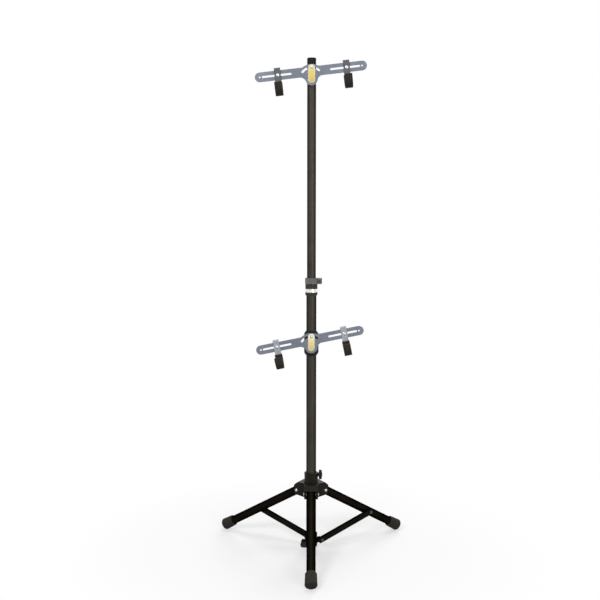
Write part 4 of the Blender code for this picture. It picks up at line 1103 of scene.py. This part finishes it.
def strap_outline(margin=0.0):
    """Front view of the strap, round at both ends, or a line inside it by a margin."""
    half = STRAP_WIDTH / 2
    return (arc((0, half - STRAP_BOTTOM), half - margin, 180, 360)
            + arc((0, LOCK_RADIUS + STRAP_TOP - half), half - margin, 0, 180))


def strap_mesh():
    """The narrow plate over the bar, with a wide hole for the pivot bolt's flush head."""
    front = STRAP_THICKNESS + CUT_OVERRUN
    return cut(plate(strap_outline(), 0, STRAP_THICKNESS), drill(PIVOT_HEAD_RADIUS, -front, CUT_OVERRUN),
               moved(drill(CRADLE_BOLT_RADIUS, -front, CUT_OVERRUN), (0, 0, LOCK_RADIUS)))


def sticker_mesh():
    """A thin sticker on the strap's face, with a window around the lock bolt."""
    window = rod(LOCK_HEAD_RADIUS + STICKER_MARGIN, -CUT_OVERRUN, CUT_OVERRUN, axis="Y")
    return cut(plate(strap_outline(STICKER_MARGIN), STICKER_GAP, STICKER_THICKNESS),
               moved(window, (0, 0, LOCK_RADIUS)))


def dome(radius, base, length):
    """The lathe profile of a domed head, from its crown down to its rim."""
    points = [(0, base - length)]
    for index in reversed(range(CORNER_STEPS)):
        angle = math.radians(90 * index / CORNER_STEPS)
        rise = DOME_RIM_SHARE + (1 - DOME_RIM_SHARE) * math.sin(angle)
        points.append((radius * math.cos(angle), base - length * rise))
    return points


def hexagon_socket(radius, front, depth):
    """What cuts a hexagon socket into a bolt's head."""
    return rod(radius, front - CUT_OVERRUN, front + depth, HEXAGON_SIDES, "Y")


def cradle_bolt(head_radius, head_back, head_length, tip, socket=0.0):
    """A bolt along Y, seen from the front; depths are measured forward from the bar's back."""
    chamfer = CRADLE_BOLT_RADIUS * BOLT_TIP_SHARE
    bolt = fastener(dome(head_radius, -head_back, head_length)
                    + [(head_radius, -head_back), (CRADLE_BOLT_RADIUS, -head_back),
                       (CRADLE_BOLT_RADIUS, -tip - chamfer), (CRADLE_BOLT_RADIUS - chamfer, -tip), (0, -tip)])
    if socket:
        front = -head_back - head_length
        bolt = cut(bolt, hexagon_socket(socket, front, head_length * SOCKET_DEPTH_SHARE))
    return bolt


def flush_bolt(head_radius, head_back, head_length, tip):
    """A bolt along Y with a flat head that lies flush in the strap, and a hexagon socket."""
    front = -head_back - head_length
    bolt = fastener([(0, front), (head_radius, front), (head_radius, -head_back),
                     (CRADLE_BOLT_RADIUS, -head_back), (CRADLE_BOLT_RADIUS, -tip), (0, -tip)])
    return cut(bolt, hexagon_socket(CRADLE_BOLT_RADIUS * FLUSH_SOCKET_SHARE, front,
                                    head_length * FLUSH_SOCKET_SHARE))


def hex_nut(back):
    """A flanged nut on a cradle bolt, its front face `back` metres behind the bar's back."""
    behind = back + NUT_THICKNESS
    cone = turned([(0, back)] + shifted(NUT_FLANGE, NUT_RADIUS, back)
                  + [(NUT_RADIUS * NUT_WAIST_SHARE, behind - NUT_WAIST_DEPTH),
                     (NUT_RADIUS * NUT_END_SHARE, behind), (0, behind)])
    flats = join(rod(NUT_RADIUS, back, behind, HEXAGON_SIDES, "Y"),
                 rod(NUT_RADIUS + NUT_FLANGE_REACH, back, back + NUT_FLANGE_THICKNESS, axis="Y"))
    nut = combine(turn_to(cone, "Y"), [flats], "INTERSECT")
    return cut(nut, drill(CRADLE_BOLT_RADIUS, back - CUT_OVERRUN, behind + CUT_OVERRUN))


def hook_path():
    """Depth of the stem's middle, and the height of the bend's centre, both from the bolt."""
    bend = HOOK_INNER_DEPTH / 2 + SLEEVE_THICKNESS + HOOK_THICKNESS / 2
    center = HOOK_BOTTOM + bend + HOOK_THICKNESS / 2 + SLEEVE_THICKNESS
    return bend, center


def hook_outline(grow, rear_top, front_top):
    """Side view of the J, from the stem's back: points are (forward, up)."""
    bend, center = hook_path()
    middle = HOOK_THICKNESS / 2
    half = middle + grow
    axis = middle + bend
    return ([(middle - half, rear_top)] + arc((axis, center), bend + half, 180, 360, 2 * ARC_STEPS)
            + [(axis + bend + half, front_top), (axis + bend - half, front_top)]
            + arc((axis, center), bend - half, 360, 180, 2 * ARC_STEPS) + [(middle + half, rear_top)])


def side_view(outline, width):
    """A (forward, up) outline given a width along X."""
    points = [(-forward, up) for forward, up in outline]
    return extruded(points, -width / 2, width / 2, (1, 2))


def hook_mesh():
    """A flat steel bar bent into a J, with a short lip turned back over the cradle bar."""
    back = HOOK_THICKNESS - HOOK_LIP
    under = HOOK_TOP - HOOK_THICKNESS
    outline = ([(back, HOOK_TOP), (back, under), (0, under)]
               + hook_outline(0, HOOK_TOP, HOOK_FRONT_TOP - SLEEVE_THICKNESS)[1:-1]
               + arc((HOOK_THICKNESS - HOOK_BEND, HOOK_TOP - HOOK_BEND), HOOK_BEND, 0, 90, CORNER_STEPS))
    return cut(side_view(outline, HOOK_WIDTH),
               drill(CRADLE_BOLT_RADIUS, -HOOK_THICKNESS - CUT_OVERRUN, CUT_OVERRUN))


def sleeve_mesh():
    """The ribbed rubber cover of the J, open at the top of the stem and closed over the front end."""
    outer = side_view(hook_outline(SLEEVE_THICKNESS, SLEEVE_TOP, HOOK_FRONT_TOP), SLEEVE_WIDTH)
    pocket = side_view(hook_outline(TOUCH_GAP, 0, HOOK_FRONT_TOP - SLEEVE_THICKNESS + TOUCH_GAP),
                       HOOK_WIDTH + 2 * TOUCH_GAP)
    rib = rounded(side_view(hook_outline(SLEEVE_THICKNESS + RIB_HEIGHT, SLEEVE_TOP - 2 * RIB_WIDTH,
                                         HOOK_FRONT_TOP - 2 * RIB_WIDTH), RIB_WIDTH), RIB_EDGE)
    ribs = [moved(rib, (share * SLEEVE_WIDTH, 0, 0)) for share in RIB_SHARES]
    return cut(join(rounded(outer, SLEEVE_EDGE), *ribs), pocket)


def build_hooks(level, tilting, looks):
    """Two hooks on one bar, each held in its slot by a bolt and a nut."""
    hook = hook_mesh()
    sleeve = sleeve_mesh()
    front = BAR_THICKNESS + TOUCH_GAP
    bolt = cradle_bolt(HOOK_BOLT_HEAD_RADIUS, front + HOOK_THICKNESS + TOUCH_GAP, HOOK_BOLT_HEAD,
                       -NUT_THICKNESS - BOLT_END)
    nut = hex_nut(TOUCH_GAP)
    for side, reach in HOOK_REACHES[level].items():
        sliding = settle((reach, 0, BAR_PIVOT_DROP), parent=tilting)
        add(f"{level}_{side}_hook", hook, looks.hooks[level], sliding, (0, -front, 0), edge=HOOK_EDGE)
        add(f"{level}_{side}_hook_sleeve", sleeve, looks.rubber, sliding, (0, -front, 0), edge=0)
        add(f"{level}_{side}_hook_bolt", bolt, looks.bolt, sliding)
        add(f"{level}_{side}_hook_nut", nut, looks.bolt, sliding, edge=0)


def build_bar(level, pivot, tilt, tip, parent, looks):
    """A bar, its strap and its two bolts, in front of what carries them; returns the bar's place."""
    back = Vector(pivot) - Vector((0, TOUCH_GAP, 0))
    tilting = settle(back, (0, -tilt, 0), parent)
    add(f"{level}_bar", bar_mesh(), looks.bar, tilting, edge=BAR_EDGE)
    front = BAR_THICKNESS + TOUCH_GAP
    add(f"{level}_strap", strap_mesh(), looks.strap, parent, back - Vector((0, front, 0)))
    lock = cradle_bolt(LOCK_HEAD_RADIUS, front + STRAP_THICKNESS + TOUCH_GAP, LOCK_HEAD, tip, SOCKET_RADIUS)
    add(f"{level}_lock_bolt", lock, looks.bolt, parent, back + Vector((0, 0, LOCK_RADIUS)))
    fixed = flush_bolt(PIVOT_HEAD_RADIUS, front, STRAP_THICKNESS - TOUCH_GAP, tip)
    add(f"{level}_pivot_bolt", fixed, looks.bolt, parent, back, edge=0)
    face = settle(back - Vector((0, front + STRAP_THICKNESS, 0)), parent=parent)
    trim(f"{level}_sticker", f"{level}_strap", sticker_mesh(), looks.stickers[level], face)
    return tilting


def build_upper_cradle(sliding, looks):
    """The top cradle, bolted through the upper tube on a saddle block."""
    height = upper_pivot_lift()
    low = height - SADDLE_BELOW
    high = height + LOCK_RADIUS + SADDLE_ABOVE
    saddle = cut(box((-SADDLE_HALF_WIDTH, -SADDLE_REACH, low), (SADDLE_HALF_WIDTH, -SADDLE_BACK, high)),
                 bore(UPPER_BORE, low, high), *cradle_bolt_holes(-SADDLE_REACH - CUT_OVERRUN, 0, height))
    add("upper_saddle", saddle, looks.nylon, sliding)
    back = SADDLE_REACH + UPPER_TUBE_RADIUS + 2 * TOUCH_GAP
    tilting = build_bar("upper", (0, -SADDLE_REACH, height), UPPER_TILT, -back - NUT_THICKNESS - BOLT_END,
                        sliding, looks)
    nut = hex_nut(back)
    for name, rise in (("upper_pivot_nut", 0), ("upper_lock_nut", LOCK_RADIUS)):
        add(name, nut, looks.bolt, sliding, (0, -SADDLE_REACH - TOUCH_GAP, height + rise), edge=0)
    build_hooks("upper", tilting, looks)


def build_lower_cradle(looks):
    """The lower cradle on a collar that slides on the lower tube, held by a knob behind."""
    sliding = settle((0, 0, LOWER_PIVOT_HEIGHT))
    radius = CRADLE_COLLAR_RADIUS
    slim = LOWER_BORE + CRADLE_COLLAR_RIM
    low, high = -CRADLE_COLLAR_BELOW, CRADLE_COLLAR_ABOVE
    taper = CRADLE_COLLAR_TAPER
    sleeve = turned([(0, low), (slim, low), (radius, low + taper), (radius, high - taper), (slim, high),
                     (0, high)])
    boss = box((-CRADLE_BOSS_HALF_WIDTH, -CRADLE_COLLAR_REACH, low + taper),
               (CRADLE_BOSS_HALF_WIDTH, 0, high - taper))
    knob_lift = (0, 0, (low + high) / 2)
    body = join(rounded(sleeve, CRADLE_COLLAR_EDGE, CRADLE_COLLAR_EDGE_ANGLE),
                rounded(boss, CRADLE_COLLAR_EDGE), rounded(moved(knob_boss(radius), knob_lift, 90)))
    depth = LOWER_BORE + CRADLE_BOLT_WALL
    body = cut(body, bore(LOWER_BORE, low, high),
               *cradle_bolt_holes(-CRADLE_COLLAR_REACH - CUT_OVERRUN, -depth),
               moved(knob_hole(radius), knob_lift, 90))
    add("lower_cradle_collar", body, looks.nylon, sliding, edge=0)
    add("lower_cradle_knob", knob(knob_seat(radius)), looks.nylon, sliding, knob_lift, (0, 0, 90))
    tilting = build_bar("lower", (0, -CRADLE_COLLAR_REACH, 0), LOWER_TILT,
                        depth + TOUCH_GAP - CRADLE_COLLAR_REACH, sliding, looks)
    build_hooks("lower", tilting, looks)


# Stage, light and camera

def build_stage():
    """A white floor that keeps the stand's shadow and fades into the white surroundings."""
    mesh = box(FLOOR_LOW, FLOOR_HIGH)
    floor = linked("floor", mesh)
    paper = Surface("white_paper", Base_Color=(FLOOR_SHADE, FLOOR_SHADE, FLOOR_SHADE, 1),
                    Roughness=FLOOR_ROUGHNESS)
    reach = paper.node("VectorMath", "Value", paper.node("TexCoord", "Object"),
                       options=(("operation", "LENGTH"),))
    fade = paper.spread(reach, FADE_LEAST, 1.0, FADE_START, FADE_END)
    glow = paper.node("Emission", "Emission", Color=(1, 1, 1, 1))
    shown = paper.node("MixShader", "Shader", fade, paper.shader.outputs["BSDF"], glow)
    dim = paper.node("BsdfDiffuse", "BSDF", Color=(BOUNCE, BOUNCE, BOUNCE, 1))
    surface = paper.node("MixShader", "Shader", paper.background_rays(), dim, shown)
    paper.links.new(surface, paper.nodes["Material Output"].inputs["Surface"])
    mesh.materials.append(paper.material)


def build_light():
    """Soft studio light: key, fill, top and back lamps, and a white world that lights little."""
    for name, place, size, power in LAMPS:
        data = bpy.data.lights.new(name, "AREA")
        data.shape = "DISK"
        data.size = size
        data.energy = power
        lamp = linked(name, data)
        lamp.location = place
        lamp.rotation_euler = (Vector(LAMP_TARGET) - Vector(place)).to_track_quat("-Z", "Y").to_euler()
    world = bpy.data.worlds.new("studio")
    bpy.context.scene.world = world
    sky = Graph(world)
    background = sky.nodes["Background"]
    sky.feed(background.inputs["Color"], (1, 1, 1, 1))
    sky.feed(background.inputs["Strength"], sky.spread(sky.background_rays(), BOUNCE, 1.0, 0.0, 1.0))


def build_camera():
    """The photograph's view: slightly above the middle of the mast, tipped down."""
    data = bpy.data.cameras.new("camera")
    data.sensor_width = SENSOR_WIDTH
    data.lens = FOCAL_PIXELS / FRAME_PIXELS * SENSOR_WIDTH
    data.clip_end = CLIP_END
    camera = linked("camera", data)
    camera.location = (0, -CAMERA_DISTANCE, CAMERA_HEIGHT)
    pitch = math.atan(CAMERA_DROP_PIXELS / FOCAL_PIXELS)
    yaw = math.atan((MAST_PIXEL - FRAME_PIXELS / 2) / FOCAL_PIXELS)
    camera.rotation_euler = (math.pi / 2 - pitch, 0, yaw)
    bpy.context.scene.camera = camera


def main():
    bpy.context.scene.view_settings.view_transform = "Standard"
    looks = build_looks()
    build_camera()
    sliding = build_mast(looks)
    build_telescoping_collar(looks)
    build_legs(build_hub(looks), looks)
    build_lower_collar(looks)
    build_struts(looks)
    build_upper_cradle(sliding, looks)
    build_lower_cradle(looks)
    build_stage()
    build_light()


main()
